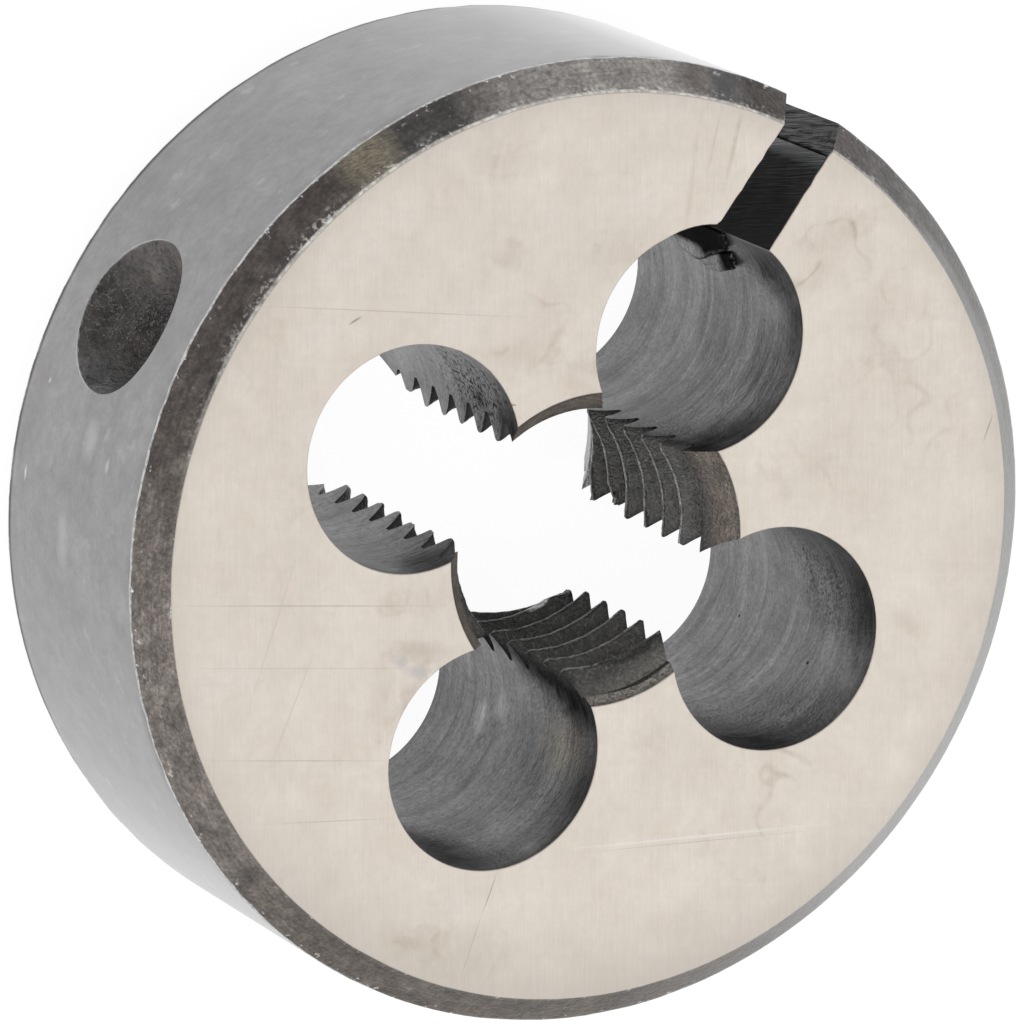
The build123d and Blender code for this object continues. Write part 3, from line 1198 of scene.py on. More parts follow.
# Painted light and shade: the rim is lightened and darkened by bearing round the disc, and
# whitened near the slot as a painted reflection of the white surroundings.
rim_steel.tint(rim_steel.toward(-178, 62, 20), 1.0, 1.15)
rim_steel.coat(rim_steel.toward(96, 24, 6) * 0.45, gray(0.6))
rim_steel.coat(rim_steel.toward(92, 18, 6) * 0.8, gray(0.9))
rim_steel.tint(rim_steel.toward(152, 26, 8), 1.0, 0.93)
turning = rim_steel.rings(0.05, 3.0, 4.0)
rim_steel.tint(turning.share(0.3, 0.7), 0.975, 1.025)
scuffs = rim_steel.group("blotches", Size=0.9, Cover=0.33, Softness=0.12, Detail=6.0, Seed=23.0)
rim_steel.coat(scuffs * 0.35, gray(0.6))
upper_edge = rim_steel.z.share(7.6, 8.2)
edge = rim_steel.group(
    "rubbed_edge", Rubbed=rim_steel.attribute("rubbed"), Reach=0.5, Raggedness=0.7, Grain=0.3
)
lower_side = rim_steel.toward(180, 30, 24) * rim_steel.z.share(5.0, 4.2) * 0.6
rim_steel.coat(edge * upper_edge.above(lower_side), gray(0.62), 0.3)
# Painted shade: a dark band along the rim's back edge.
rim_steel.coat(rim_steel.z.share(1.02, 0.9), gray(0.04), 0.5)
for x, y, z, length, height, depth in (
    (-11.78, -4.75, 1.75, 0.24, 0.07, 0.8),
    (-12.17, -3.61, 6.58, 0.25, 0.14, 0.35),
    (-12.49, -2.33, 2.07, 0.09, 0.07, 0.7),
    (-12.29, -3.21, 5.27, 0.7, 0.5, 0.25),
    (-11.28, -5.83, 4.36, 0.9, 0.4, 0.2),
):
    scar = rim_steel.group(
        "patch", X=x, Y=y, Z=z, Bearing=math.degrees(math.atan2(y, x)) + 90, Length=length,
        Width=1.0, Height=height, Softness=0.7, Raggedness=0.4,
    )
    rim_steel.coat(scar * depth, gray(0.75))
rim_steel.sheen_at_low_angles(1.4)
rim_steel.rise(turning, 0.001)
rim_steel.rise(mottle, 0.008)
rim_finish = add_finish(rim_steel.done())

chamfer_steel = Finish("chamfer_steel", (0.078, 0.064, 0.059, 1.0), 0.42, 0.4)
reach = (chamfer_steel.x * chamfer_steel.x + chamfer_steel.y * chamfer_steel.y).root()
# Partly oxide colour, partly painted light and shade: the chamfer's tone is set by bearing round
# the disc, lighter on some sides and darker on others.
lower = chamfer_steel.toward(-108, 70, 42)
chamfer_steel.coat(lower, (0.118, 0.100, 0.086, 1.0))
paler = chamfer_steel.toward(-136, 34, 12)
chamfer_steel.coat(paler, (0.190, 0.166, 0.150, 1.0))
cool = chamfer_steel.toward(138, 16, 8)
chamfer_steel.coat(cool * 0.7, (0.052, 0.050, 0.049, 1.0))
upper = chamfer_steel.toward(118, 20, 9)
chamfer_steel.coat(upper, (0.31, 0.289, 0.272, 1.0))
right = chamfer_steel.toward(14, 72, 34)
chamfer_steel.coat(right, (0.212, 0.205, 0.197, 1.0), 0.36)
chamfer_steel.coat(chamfer_steel.toward(-50, 26, 8) * 0.65, (0.082, 0.064, 0.047, 1.0))
cloud = chamfer_steel.group("blotches", Size=0.7, Softness=0.5, Detail=5.0, Seed=31.0)
smooth_part = right * -0.75 + 1.0
calm_part = smooth_part.below(upper * -0.45 + 1.0)
chamfer_steel.tint((cloud - 0.5) * calm_part + 0.5, 0.5, 1.5)
coarse = chamfer_steel.group("blotches", Size=0.3, Softness=0.3, Detail=5.0, Seed=39.0)
chamfer_steel.tint((coarse - 0.5) * calm_part + 0.5, 0.72, 1.28)
grit = chamfer_steel.group("blotches", Size=0.11, Softness=0.45, Detail=1.5, Seed=32.0)
chamfer_steel.tint((grit - 0.5) * smooth_part + 0.5, 0.62, 1.38)
turned_lines = chamfer_steel.rings(0.05, 36.0, 0.8)
chamfer_steel.tint((turned_lines.share(0.3, 0.7) - 0.5) * smooth_part + 0.5, 0.8, 1.2)
rubbed_band = chamfer_steel.toward(54, 17, 10) * reach.share(12.28, 12.14)
chamfer_steel.coat(rubbed_band * 0.8, gray(0.30))
temper = chamfer_steel.group(
    "patch", X=-10.74, Y=6.32, Z=9.1, Bearing=59.5, Length=1.0, Width=1.7, Softness=0.6,
    Raggedness=0.6,
)
temper_lines = chamfer_steel.group(
    "tool_streaks", Bearing=38.0, Length=0.8, Width=0.045, Seed=33.0
)
straw = temper * (temper_lines.share(0.38, 0.62) * 0.7 + 0.3)
chamfer_steel.coat(straw * 0.85, (0.31, 0.272, 0.19, 1.0))
heat_blue = chamfer_steel.group(
    "patch", X=-2.45, Y=12.1, Z=9.13, Length=0.6, Width=2.0, Softness=0.8, Raggedness=0.5
)
chamfer_steel.coat(heat_blue * 0.8, (0.062, 0.067, 0.075, 1.0))
heat_brown = chamfer_steel.group(
    "patch", X=-3.35, Y=11.9, Z=9.13, Length=0.55, Width=2.0, Softness=0.9, Raggedness=0.5
)
chamfer_steel.coat(heat_brown * 0.6, (0.10, 0.074, 0.066, 1.0))
flecks = chamfer_steel.group("specks", Spacing=0.26, Size=0.24, Seed=34.0)
chamfer_steel.coat(flecks * (upper * 0.5 + 0.25), (0.5, 0.48, 0.46, 1.0))
near_face = reach.share(12.02, 11.88)
near_rim = reach.share(12.5, 12.66)
chamfer_steel.coat(near_face * (upper * 0.2 + 0.25), (0.34, 0.32, 0.295, 1.0))
left_and_top = chamfer_steel.toward(128, 68, 32)
crumbs = chamfer_steel.group("blotches", Size=0.14, Softness=0.15, Detail=1.5, Seed=37.0)
flaked = chamfer_steel.group(
    "blotches", Size=0.13, Cover=0.42, Softness=0.12, Detail=1.5, Seed=38.0
)
flaked = flaked * chamfer_steel.group("blotches", Size=0.9, Softness=0.2, Seed=40.0)
chamfer_steel.coat(flaked * reach.share(12.2, 12.04) * left_and_top * 0.8, (0.66, 0.64, 0.60, 1.0))
big_flakes = chamfer_steel.group("blotches", Size=0.26, Cover=0.38, Softness=0.06, Seed=41.0)
chamfer_steel.coat(big_flakes * reach.share(12.1, 12.02) * left_and_top, (0.74, 0.72, 0.69, 1.0))
worn_through = chamfer_steel.group("blotches", Size=0.5, Cover=0.56, Softness=0.2, Seed=42.0)
face_line = reach.share(12.0, 11.965) * left_and_top * (crumbs * 0.4 + 0.6)
face_line = face_line * (worn_through * 0.75 + 0.25)
chamfer_steel.coat(face_line, (0.88, 0.85, 0.80, 1.0), 0.3)
nicks = chamfer_steel.group("blotches", Size=0.22, Cover=0.37, Softness=0.06, Seed=35.0)
chamfer_steel.coat(nicks * near_face.above(near_rim) * smooth_part, (0.9, 0.88, 0.85, 1.0), 0.3)
edge = chamfer_steel.group(
    "rubbed_edge", Rubbed=chamfer_steel.attribute("rubbed"), Reach=0.4, Raggedness=0.9, Grain=0.25
)
chamfer_steel.coat(edge * near_rim * (crumbs * 0.6 + 0.4), gray(0.7), 0.3)
chamfer_steel.sheen_at_low_angles(right.above(chamfer_steel.toward(110, 60, 30)) * 1.2 + 0.55)
chamfer_steel.rise(grit, 0.02)
chamfer_steel.rise(cloud, 0.015)
chamfer_finish = add_finish(chamfer_steel.done())

# The rim's rows from the back face to the front one: radius, height and wear
chamfer = 0.794
barrel_steps = 24
barrel_start = chamfer + 0.13
barrel_height = body_thickness - 2 * barrel_start
rim_rows = [
    (body_radius - chamfer + edge_break, edge_break, 1.0),
    (body_radius - chamfer + 0.1, 0.1, 0.0),
    (body_radius - chamfer * 0.75, chamfer * 0.25, 0.0),
    (body_radius - chamfer * 0.5, chamfer * 0.5, 0.0),
    (body_radius - chamfer * 0.25, chamfer * 0.75, 0.0),
    (body_radius - 0.11, chamfer - 0.11, 0.0),
    (body_radius - 0.03, chamfer - 0.03, 0.1),
    (body_radius - 0.006, chamfer + 0.004, 1.0),
    (body_radius, chamfer + 0.05, 0.9),
    (body_radius, barrel_start, 0.0),
]
chamfer_rows = len(rim_rows) - 2
upper_rows = [(radius, body_thickness - height, worn) for radius, height, worn in rim_rows]
rim_rows += [
    (body_radius, barrel_start + barrel_height * n / barrel_steps, 0.0)
    for n in range(1, barrel_steps)
]
rim_rows += reversed(upper_rows)
edge_wander = 0.03
edge_chatter = 0.02
face_edge_share = 0.25


def rim_column(azimuth):
    column = []
    for radius, height, worn in rim_rows:
        x, y = radius * math.cos(azimuth), radius * math.sin(azimuth)
        edge = edge_wander * noise.noise(Vector((x * 4, y * 4, height * 4)))
        edge += edge_chatter * noise.noise(Vector((x * 11, y * 11, height * 11)))
        at_face = min(height, body_thickness - height) < 2 * edge_break
        slack = face_edge_share if at_face else 1.0
        grown = 1 + slack * worn * (edge - abs(edge)) / body_radius
        column.append(add_vert(x * grown, y * grown, height, worn))
    return column


def corner_column(start, direction):
    """The rim's rows where a wall of the slot cuts them."""
    column = []
    for radius, height, worn in rim_rows:
        spot = meets_circle(start, direction, Vector((0, 0)), radius, True)
        column.append(add_vert(spot.x, spot.y, height, worn))
    return column


saw_wander = 0.03
saw_chatter = 0.015


def upright(spot):
    """A straight column with the rim's count of rows, spread evenly over the height."""
    rows = len(rim_rows) - 1
    return [
        add_vert(
            spot.x,
            spot.y,
            edge_break + (body_thickness - 2 * edge_break) * n / rows,
            1.0 if n in (0, rows) else 0.0,
        )
        for n in range(rows + 1)
    ]


def sawn_run(start, end, count, seed):
    """Straight columns between two places, which wander as the saw did."""
    run = []
    for n in range(1, count):
        wander = saw_wander * noise.noise(Vector((n * 0.8, seed, 0)))
        wander += saw_chatter * noise.noise(Vector((n * 2.3, seed, 5)))
        run.append(upright(start.lerp(end, n / count) + slot_left * wander))
    return run


def leaning(first, second, share, way, rough):
    """A column between two others, roughened across the wall."""
    column = []
    last = len(first) - 1
    for n, (low, high) in enumerate(zip(first, second)):
        spot = low.co.lerp(high.co, share) / mm
        ridge = noise.noise(Vector((spot.x * 9, (spot.y - 0.24 * spot.z) * 9, spot.z * 0.8)))
        fine = noise.noise(Vector((spot.x * 14, spot.y * 14, spot.z * 4.0)))
        push = rough * (ridge + 0.5 * fine) if 0 < n < last else 0.0
        column.append(add_vert(spot.x + way.x * push, spot.y + way.y * push, spot.z, 0.0))
        column[-1][rubbed] = 1.0 if n in (0, last) else 0.0
    return column


# The outline in order: the slot's left wall inwards, the holes and lands all the way round, and
# the slot's right wall outwards
left_corner = corner_column(left_start - slot_out * 2, slot_out)
board_radius = 11.6
left_board = upright(
    meets_circle(left_start - slot_out * 2, slot_out, Vector((0, 0)), board_radius, True)
)
left_deep = wall_column(90, left_angle, 0.0)
sew_run([left_corner, left_board], slot_finish)
left_outer = Vector((left_board[0].co.x, left_board[0].co.y)) / mm
sew_run(sawn_run(left_outer, left_inner, 12, 2.0) + [left_deep], slot_finish)

inward = math.radians(270)
sew_run(plain_columns(90, left_angle + wall_step, inward - tooth_side), hole_finish)
for number, bearing in enumerate(land_bearings):
    columns = land_edges[bearing]
    sides = side_columns(bearing - 45, columns[0], -1)
    sew_run(list(reversed(sides)) + [columns[0]], hole_finish)
    outline.extend(columns[1:])
    inward = math.radians(bearing + 45 + 180)
    sew_run(side_columns(bearing + 45, columns[-1], 1), hole_finish)
    if number < 3:
        run = plain_columns(bearing + 45, inward + tooth_side, inward + 2 * math.pi - tooth_side)
        sew_run(run, hole_finish)
inward = math.radians(-90)
run = plain_columns(90, inward + tooth_side, right_angle - wall_step)
sew_run(run, hole_finish)

right_deep = wall_column(90, right_angle, 0.0)
strip_foot, strip_rise = 6.6, 1.4
for vert in right_deep:
    vert[corner] = min(1.0, max(0.0, (vert.co.z / mm - strip_foot) / strip_rise))
sew_run([right_deep], hole_finish)
bend_column = upright(bend)
sew_run(sawn_run(right_inner, bend, 10, 7.0) + [bend_column], slot_finish)
right_corner = corner_column(bend, flare_way)
flare_out = Vector((flare_way.y, -flare_way.x))
flare_columns = 10
flare_run = [
    leaning(bend_column, right_corner, n / flare_columns, flare_out, 0.05)
    for n in range(1, flare_columns)
]
sew_run(flare_run + [right_corner], flare_finish)


# Round the rim from the slot's right corner clockwise to its left one. The two dimples, which take
# the points of the holder's screws, are drilled through the rim's rows.
def azimuth_of(vert):
    return math.atan2(vert.co.y, vert.co.x)


dimple_span = math.radians(14)
dimple_count = 18
upper_count = 36
lower_count = 76
middle_row = (len(rim_rows) - 1) // 2
dimple_rows = (middle_row - dimple_count // 2, middle_row + dimple_count // 2)
first_azimuth = azimuth_of(right_corner[middle_row])
last_azimuth = azimuth_of(left_corner[middle_row]) - 2 * math.pi
stops = [
    (first_azimuth, dimple_span, upper_count),
    (dimple_span, -dimple_span, dimple_count),
    (-dimple_span, -math.pi + dimple_span, lower_count),
    (-math.pi + dimple_span, -math.pi - dimple_span, dimple_count),
    (-math.pi - dimple_span, last_azimuth, upper_count),
]
rim_columns = [right_corner]
dimple_starts = []
for begin, end, count in stops:
    if count == dimple_count:
        dimple_starts.append(len(rim_columns) - 1)
    for n in range(1, count + 1):
        azimuth = begin + (end - begin) * n / count
        rim_columns.append(rim_column(azimuth))
for vert in rim_columns.pop():
    die.verts.remove(vert)
rim_columns.append(left_corner)
outline.extend(rim_columns[1:-1])


def in_dimple(column, row):
    inside = dimple_rows[0] <= row < dimple_rows[1]
    return inside and any(start <= column < start + dimple_count for start in dimple_starts)


for number in range(len(rim_columns) - 1):
    first, second = rim_columns[number], rim_columns[number + 1]
    for row in range(len(rim_rows) - 1):
        if in_dimple(number, row):
            continue
        chamfered = row < chamfer_rows or row >= len(rim_rows) - 1 - chamfer_rows
        finish = chamfer_finish if chamfered else rim_finish
        add_face((first[row], first[row + 1], second[row + 1], second[row]), finish)

dimple_steel = Finish("dimple_steel", (0.040, 0.034, 0.031, 1.0), 0.45, 0.4)
dimple_steel.shine = 0.35
# Painted light: the cone is lightened towards both sides across the rim.
dimple_steel.coat(dimple_steel.y.share(0.2, 1.9), (0.17, 0.155, 0.148, 1.0))
dimple_steel.coat(dimple_steel.y.share(-0.8, -1.9) * 0.8, (0.115, 0.113, 0.113, 1.0))
cloud = dimple_steel.group("blotches", Size=0.8, Softness=0.4, Seed=41.0)
dimple_steel.tint(cloud, 0.4, 1.75)
grit = dimple_steel.group("blotches", Size=0.14, Softness=0.5, Detail=1.5, Seed=42.0)
dimple_steel.tint(grit, 0.6, 1.4)
# Painted shade: the cone's wall towards the front face is darkened.
dimple_painted_shade = dimple_steel.z.share(4.6, 6.2) * dimple_steel.y.share(1.2, 0.2)
dimple_steel.coat(dimple_painted_shade * 0.6, (0.022, 0.019, 0.018, 1.0))
smear = dimple_steel.group("blotches", Size=0.45, Cover=0.42, Softness=0.3, Seed=43.0)
dimple_steel.coat(smear * 0.35, gray(0.18))
crumbs = dimple_steel.group("blotches", Size=0.09, Cover=0.42, Softness=0.1, Detail=1.5, Seed=45.0)
torn_part = dimple_steel.y.reckon("ABSOLUTE").share(1.5, 0.5)
dimple_steel.coat(crumbs * torn_part * 0.7, (0.19, 0.18, 0.165, 1.0))
wrinkles = dimple_steel.group("blotches", Size=0.4, Softness=1.0, Seed=44.0).line(0.018)
dimple_steel.coat(wrinkles * dimple_steel.y.reckon("ABSOLUTE").share(1.7, 0.7) * 0.75, gray(0.22))
edge = dimple_steel.group(
    "rubbed_edge", Rubbed=dimple_steel.attribute("rubbed"), Reach=0.3, Raggedness=1.0, Grain=0.3
)
dimple_steel.coat(edge * dimple_steel.z.share(5.2, 4.2), gray(0.3), 0.35)
dimple_steel.rise(grit, 0.03)
dimple_steel.rise(crumbs * torn_part, 0.03)
dimple_steel.rise(cloud, 0.05)
dimple_steel.rise(wrinkles, 0.004)
dimple_finish = add_finish(dimple_steel.done())
dimple_radius = 2.32
dimple_shift = 0.06
dimple_bottom = body_radius - dimple_radius
dimple_point = 0.08
scar_depth = 0.01


def dimple_mouth(angle):
    """Radius of the cone's mouth at an angle round the dimple's axis."""
    side = math.cos(angle) ** 2
    a = 1 + side
    b = 2 * dimple_bottom
    c = dimple_bottom**2 - body_radius**2
    return (-b + math.sqrt(b * b - 4 * a * c)) / (2 * a)


def ring_in_cone(angles, reach, facing):
    ring = []
    for angle in angles:
        mouth = dimple_mouth(angle)
        y = mouth * math.cos(angle) - dimple_shift
        x = dimple_bottom + (math.sqrt(body_radius**2 - y * y) - dimple_bottom) * reach
        scar_at = Vector((math.cos(angle) * 3, math.sin(angle) * 3, reach * 9 + facing))
        scar = scar_depth * noise.noise(scar_at)
        reached = reach + (scar if reach < 0.97 else 0)
        ring.append(
            add_vert(
                x * facing,
                y * reached * facing,
                body_thickness / 2 + mouth * reached * math.sin(angle),
                1.0 if reach > 0.99 else 0.0,
            )
        )
    return ring


for start, facing in zip(dimple_starts, (1, -1)):
    low, high = dimple_rows
    frame_run = [rim_columns[start][row] for row in range(low, high)]
    frame_run += [rim_columns[start + n][high] for n in range(dimple_count)]
    frame_run += [rim_columns[start + dimple_count][row] for row in range(high, low, -1)]
    frame_run += [rim_columns[start + n][low] for n in range(dimple_count, 0, -1)]
    angles = []
    for vert in frame_run:
        across = vert.co.y * facing / mm
        up = vert.co.z / mm - body_thickness / 2
        angles.append(math.atan2(up, across))
    mouth_ring = ring_in_cone(angles, 1.0, facing)
    rings = [frame_run]
    for share in (0.3, 0.6, 0.85, 0.95):
        ring = []
        for outer, inner in zip(frame_run, mouth_ring):
            spot = outer.co.lerp(inner.co, share) / mm
            swing = math.atan2(spot.y, spot.x)
            x, y = body_radius * math.cos(swing), body_radius * math.sin(swing)
            ring.append(add_vert(x, y, spot.z))
        rings.append(ring)
    rings.append(mouth_ring)
    for number in range(len(rings) - 1):
        for n in range(len(angles)):
            m = (n + 1) % len(angles)
            quad = (rings[number][n], rings[number][m], rings[number + 1][m], rings[number + 1][n])
            add_face(quad, rim_finish)
    outer = mouth_ring
    for reach in (0.96, 0.85, 0.7, 0.55, 0.4, 0.27, 0.15, 0.06):
        inner = ring_in_cone(angles, reach, facing)
        for n in range(len(angles)):
            m = (n + 1) % len(angles)
            add_face((outer[n], outer[m], inner[m], inner[n]), dimple_finish)
        outer = inner
    tip = add_vert((dimple_bottom + dimple_point) * facing, 0, body_thickness / 2)
    for n in range(len(angles)):
        add_face((outer[n], outer[(n + 1) % len(angles)], tip), dimple_finish)

# The two faces, ground flat and bright after the heat treatment. A face is closed from its outline
# inwards: a narrow broken edge, and then an even net of points.
face_steel = Finish("ground_steel", (0.74, 0.673, 0.603, 1.0), 0.42, 0.35)
reach = (face_steel.x * face_steel.x + face_steel.y * face_steel.y).root()
cloud = face_steel.group("blotches", Size=2.6, Softness=0.8, Detail=5.0, Seed=51.0)
face_steel.tint(cloud, 0.93, 1.07)
# Painted light: the face is lightened a little towards one side.
rightwards = face_steel.x * 0.87 + face_steel.y * 0.5
face_steel.tint(rightwards.share(-10.0, 8.0), 0.955, 1.045)
mottle = face_steel.group("blotches", Size=0.35, Softness=0.7, Detail=5.0, Seed=56.0)
face_steel.tint(mottle, 0.94, 1.06)
fine = face_steel.group("blotches", Size=0.13, Softness=0.8, Detail=1.5, Seed=58.0)
face_steel.tint(fine, 0.965, 1.035)
tan = face_steel.group("blotches", Size=1.3, Cover=0.43, Softness=0.35, Detail=6.0, Seed=52.0)
face_steel.coat(tan * 0.38, (0.60, 0.51, 0.41, 1.0))
dull = reach.share(10.9, 11.9)
face_steel.coat(dull * dull * 0.35, (0.52, 0.475, 0.42, 1.0))
low_part = reach.share(9.6, 11.6) * face_steel.toward(-70, 62, 22)
face_steel.coat(low_part * 0.4, (0.50, 0.455, 0.40, 1.0))
grain = face_steel.group("tool_streaks", Bearing=119.8, Length=2.0, Width=0.05, Seed=53.0)
face_steel.tint(grain.share(0.3, 0.7), 0.975, 1.025)
short_grain = face_steel.group("tool_streaks", Bearing=119.8, Length=0.5, Width=0.04, Seed=59.0)
face_steel.tint(short_grain.share(0.3, 0.7), 0.975, 1.025)
cross = face_steel.group("tool_streaks", Bearing=22.6, Length=5.0, Width=0.12, Seed=54.0)
face_steel.tint(cross.share(0.3, 0.7), 0.99, 1.01)
swirl = face_steel.group("blotches", Size=1.7, Softness=1.0, Detail=1.0, Seed=57.0)
veins = swirl.line(0.03)
clean = Reading(face_steel.tree, place(face_steel.tree, "ShaderNodeValue").outputs[0])
clean.socket.default_value = 1.0
for x, y, bearing, length, width, depth, vein_depth in (
    (-3.45, -4.35, 20.0, 1.15, 0.36, 0.42, 0.0),
    (-7.6, 7.7, 25.0, 0.9, 0.6, 0.22, 0.2),
    (1.6, -10.9, 20.0, 1.7, 0.9, 0.2, 0.1),
    (0.1, -11.2, 20.0, 0.5, 0.3, 0.4, 0.0),
    (-2.35, 4.3, 100.0, 0.6, 0.3, 0.35, 0.0),
    (3.1, 10.2, 110.0, 1.2, 0.8, 0.12, 0.3),
    (-3.0, -5.7, 85.0, 1.3, 0.45, 0.30, 0.2),
    (-4.6, -3.6, 20.0, 0.6, 0.4, 0.2, 0.2),
    (6.4, 7.6, 130.0, 2.6, 1.5, 0.08, 0.26),
    (4.4, 8.6, 100.0, 1.8, 0.5, 0.10, 0.3),
    (7.6, -4.6, 110.0, 2.2, 1.6, 0.06, 0.25),
    (-1.68, 10.8, 106.0, 1.2, 0.09, 0.4, 0.0),
    (-2.27, 10.7, 106.0, 1.1, 0.06, 0.25, 0.0),
    (-2.2, 9.2, 112.0, 2.6, 0.12, 0.2, 0.0),
    (-2.8, 7.2, 20.0, 1.6, 0.8, 0.18, 0.3),
    (-2.0, 4.2, 30.0, 1.4, 0.8, 0.22, 0.3),
    (9.4, 1.9, 160.0, 0.8, 0.3, 0.25, 0.0),
    (-6.2, 5.6, 60.0, 0.9, 0.6, 0.12, 0.3),
    (-4.3, 4.6, 110.0, 1.5, 0.9, 0.1, 0.3),
    (-4.6, 3.6, 30.0, 1.3, 0.5, 0.16, 0.3),
    (-2.7, 3.7, 110.0, 0.9, 0.6, 0.12, 0.2),
    (-11.1, 0.6, 110.0, 2.6, 0.9, 0.1, 0.14),
    (2.3, 10.2, 45.0, 1.5, 0.5, 0.2, 0.5),
    (2.2, 8.8, 60.0, 1.5, 0.4, 0.14, 0.5),
    (0.4, -11.1, 20.0, 1.3, 0.5, 0.24, 0.2),
    (-3.7, -5.9, 110.0, 1.5, 0.45, 0.2, 0.1),
    (-4.0, -3.1, 20.0, 0.9, 0.6, 0.16, 0.2),
    (7.6, -2.8, 120.0, 1.3, 1.1, 0.06, 0.4),
    (4.0, -3.7, 60.0, 0.8, 0.6, 0.16, 0.1),
    (4.5, 4.2, 30.0, 2.2, 1.2, 0.08, 0.16),
    (-8.4, -2.2, 110.0, 1.8, 0.8, 0.1, 0.1),
):
    mark = face_steel.group(
        "patch", X=x, Y=y, Bearing=bearing, Length=length, Width=width, Softness=0.8,
        Raggedness=0.9,
    )
    cover = veins.scaled(-vein_depth, -depth) if vein_depth else -depth
    clean = clean.scaled(mark * cover, clean)
face_steel.coat(clean * -1.0 + 1.0, (0.44, 0.36, 0.28, 1.0))
for x, y, length in ((-3.15, -4.8, 0.45), (-3.75, -4.75, 0.3)):
    lilac = face_steel.group(
        "patch", X=x, Y=y, Bearing=20.0, Length=length, Width=0.22, Softness=0.7, Raggedness=0.6
    )
    face_steel.coat(lilac * 0.6, (0.48, 0.46, 0.465, 1.0))
for x, y, bearing, length, width, tone in (
    (-6.22, 2.95, 20.0, 0.16, 0.035, 0.1),
    (-5.12, 2.85, -20.0, 0.16, 0.035, 0.1),
    (-4.11, 2.36, 20.0, 0.14, 0.04, 0.1),
    (1.66, -9.1, 98.0, 0.7, 0.025, 0.22),
    (1.86, -10.5, 99.5, 1.2, 0.02, 0.4),
    (-8.4, 3.1, 21.8, 5.0, 0.022, 0.45),
    (-6.7, -4.45, 23.2, 4.6, 0.028, 0.42),
    (-5.1, -8.15, 22.7, 3.2, 0.025, 0.45),
    (-3.5, -9.2, 25.1, 2.2, 0.022, 0.45),
    (-6.2, -6.0, 23.0, 4.2, 0.02, 0.5),
    (-9.24, 2.47, 56.0, 0.24, 0.04, 0.15),
    (8.9, 7.4, 98.0, 0.5, 0.03, 0.25),
    (-7.4, -5.4, 100.0, 2.6, 0.03, 0.55),
    (-5.9, -7.1, 96.0, 2.2, 0.03, 0.55),
    # Painted shadow: this dark line runs beside the light scored line below.
    (6.6, -5.6, 27.6, 4.2, 0.02, 0.5),
):
    scratch = face_steel.group(
        "patch", X=x, Y=y, Bearing=bearing, Length=length, Width=width, Softness=0.8,
        Raggedness=0.3,
    )
    face_steel.coat(scratch * 0.7, (tone, tone * 0.94, tone * 0.88, 1.0))
# A light scored line; the dark line beside it in the list above is its painted shadow.
scored = face_steel.group(
    "patch", X=6.5, Y=-5.5, Bearing=27.6, Length=4.6, Width=0.05, Softness=0.7, Raggedness=0.3
)
face_steel.coat(scored * 0.45, (0.88, 0.86, 0.84, 1.0))
face_steel.coat(face_steel.attribute("rubbed") * 0.4, (0.3, 0.27, 0.24, 1.0))
face_steel.rise(grain, 0.003)
face_finish = add_finish(face_steel.done())
net_spacing = 0.6
net_row_share = 0.866
net_clearance = 0.6
net_margin = 0.3


def close_face(loop, outward):
    """Closes one face of the disc. outward is 1 at the front and -1 at the back."""
    cap = die.faces.new(loop if outward > 0 else list(reversed(loop)))
    cap.material_index = face_finish
    cap.smooth = True
    cap.normal_update()
    if cap.normal.z * outward < 0:
        cap.normal_flip()
    bmesh.ops.inset_region(
        die,
        faces=[cap],
        use_boundary=True,
        use_even_offset=True,
        thickness=edge_break * mm,
        depth=edge_break * mm,
    )
    for vert in cap.verts:
        vert[rubbed] = 0.0
    verts = list(cap.verts)
    height = verts[0].co.z
    spots = [Vector((vert.co.x / mm, vert.co.y / mm)) for vert in verts]
    edge_count = len(spots)
    reach = int(body_radius / net_spacing) + 1
    for i in range(-reach, reach + 1):
        for j in range(-reach, reach + 1):
            x = (i + 0.5 * (j % 2)) * net_spacing
            spots.append(Vector((x, j * net_spacing * net_row_share)))
    kept = spots[:edge_count]
    for spot in spots[edge_count:]:
        if spot.length > body_radius - chamfer - net_margin:
            continue
        clearance = net_spacing * net_clearance
        if all((spot - edge).length > clearance for edge in spots[:edge_count]):
            kept.append(spot)
    result = delaunay_2d_cdt(kept, [], [list(range(edge_count))], 1, 1e-6)
    out_spots, _, triangles, origins = result[:4]
    made = []
    for spot, origin in zip(out_spots, origins):
        known = [n for n in origin if n < edge_count]
        if known:
            made.append(verts[known[0]])
        else:
            made.append(die.verts.new((spot.x * mm, spot.y * mm, height)))
    die.faces.remove(cap)
    for triangle in triangles:
        face = die.faces.new([made[n] for n in triangle])
        face.material_index = face_finish
        face.smooth = True


close_face([column[-1] for column in outline], 1)
close_face([column[0] for column in outline], -1)

loose = [vert for vert in die.verts if not vert.link_faces]
bmesh.ops.delete(die, geom=loose, context="VERTS")
bmesh.ops.recalc_face_normals(die, faces=die.faces)
sharp_angle = math.radians(32)
for edge in die.edges:
    finishes = {face.material_index for face in edge.link_faces}
    folded = edge.calc_face_angle(0.0) > sharp_angle
    edge.smooth = not folded and finishes != {slot_finish, flare_finish}
die_mesh = bpy.data.meshes.new("die")
die.to_mesh(die_mesh)
die.free()
for material in materials:
    die_mesh.materials.append(material)
die_piece = bpy.data.objects.new("die", die_mesh)
scene.collection.objects.link(die_piece)
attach(die_piece, "root")
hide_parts("die_body")

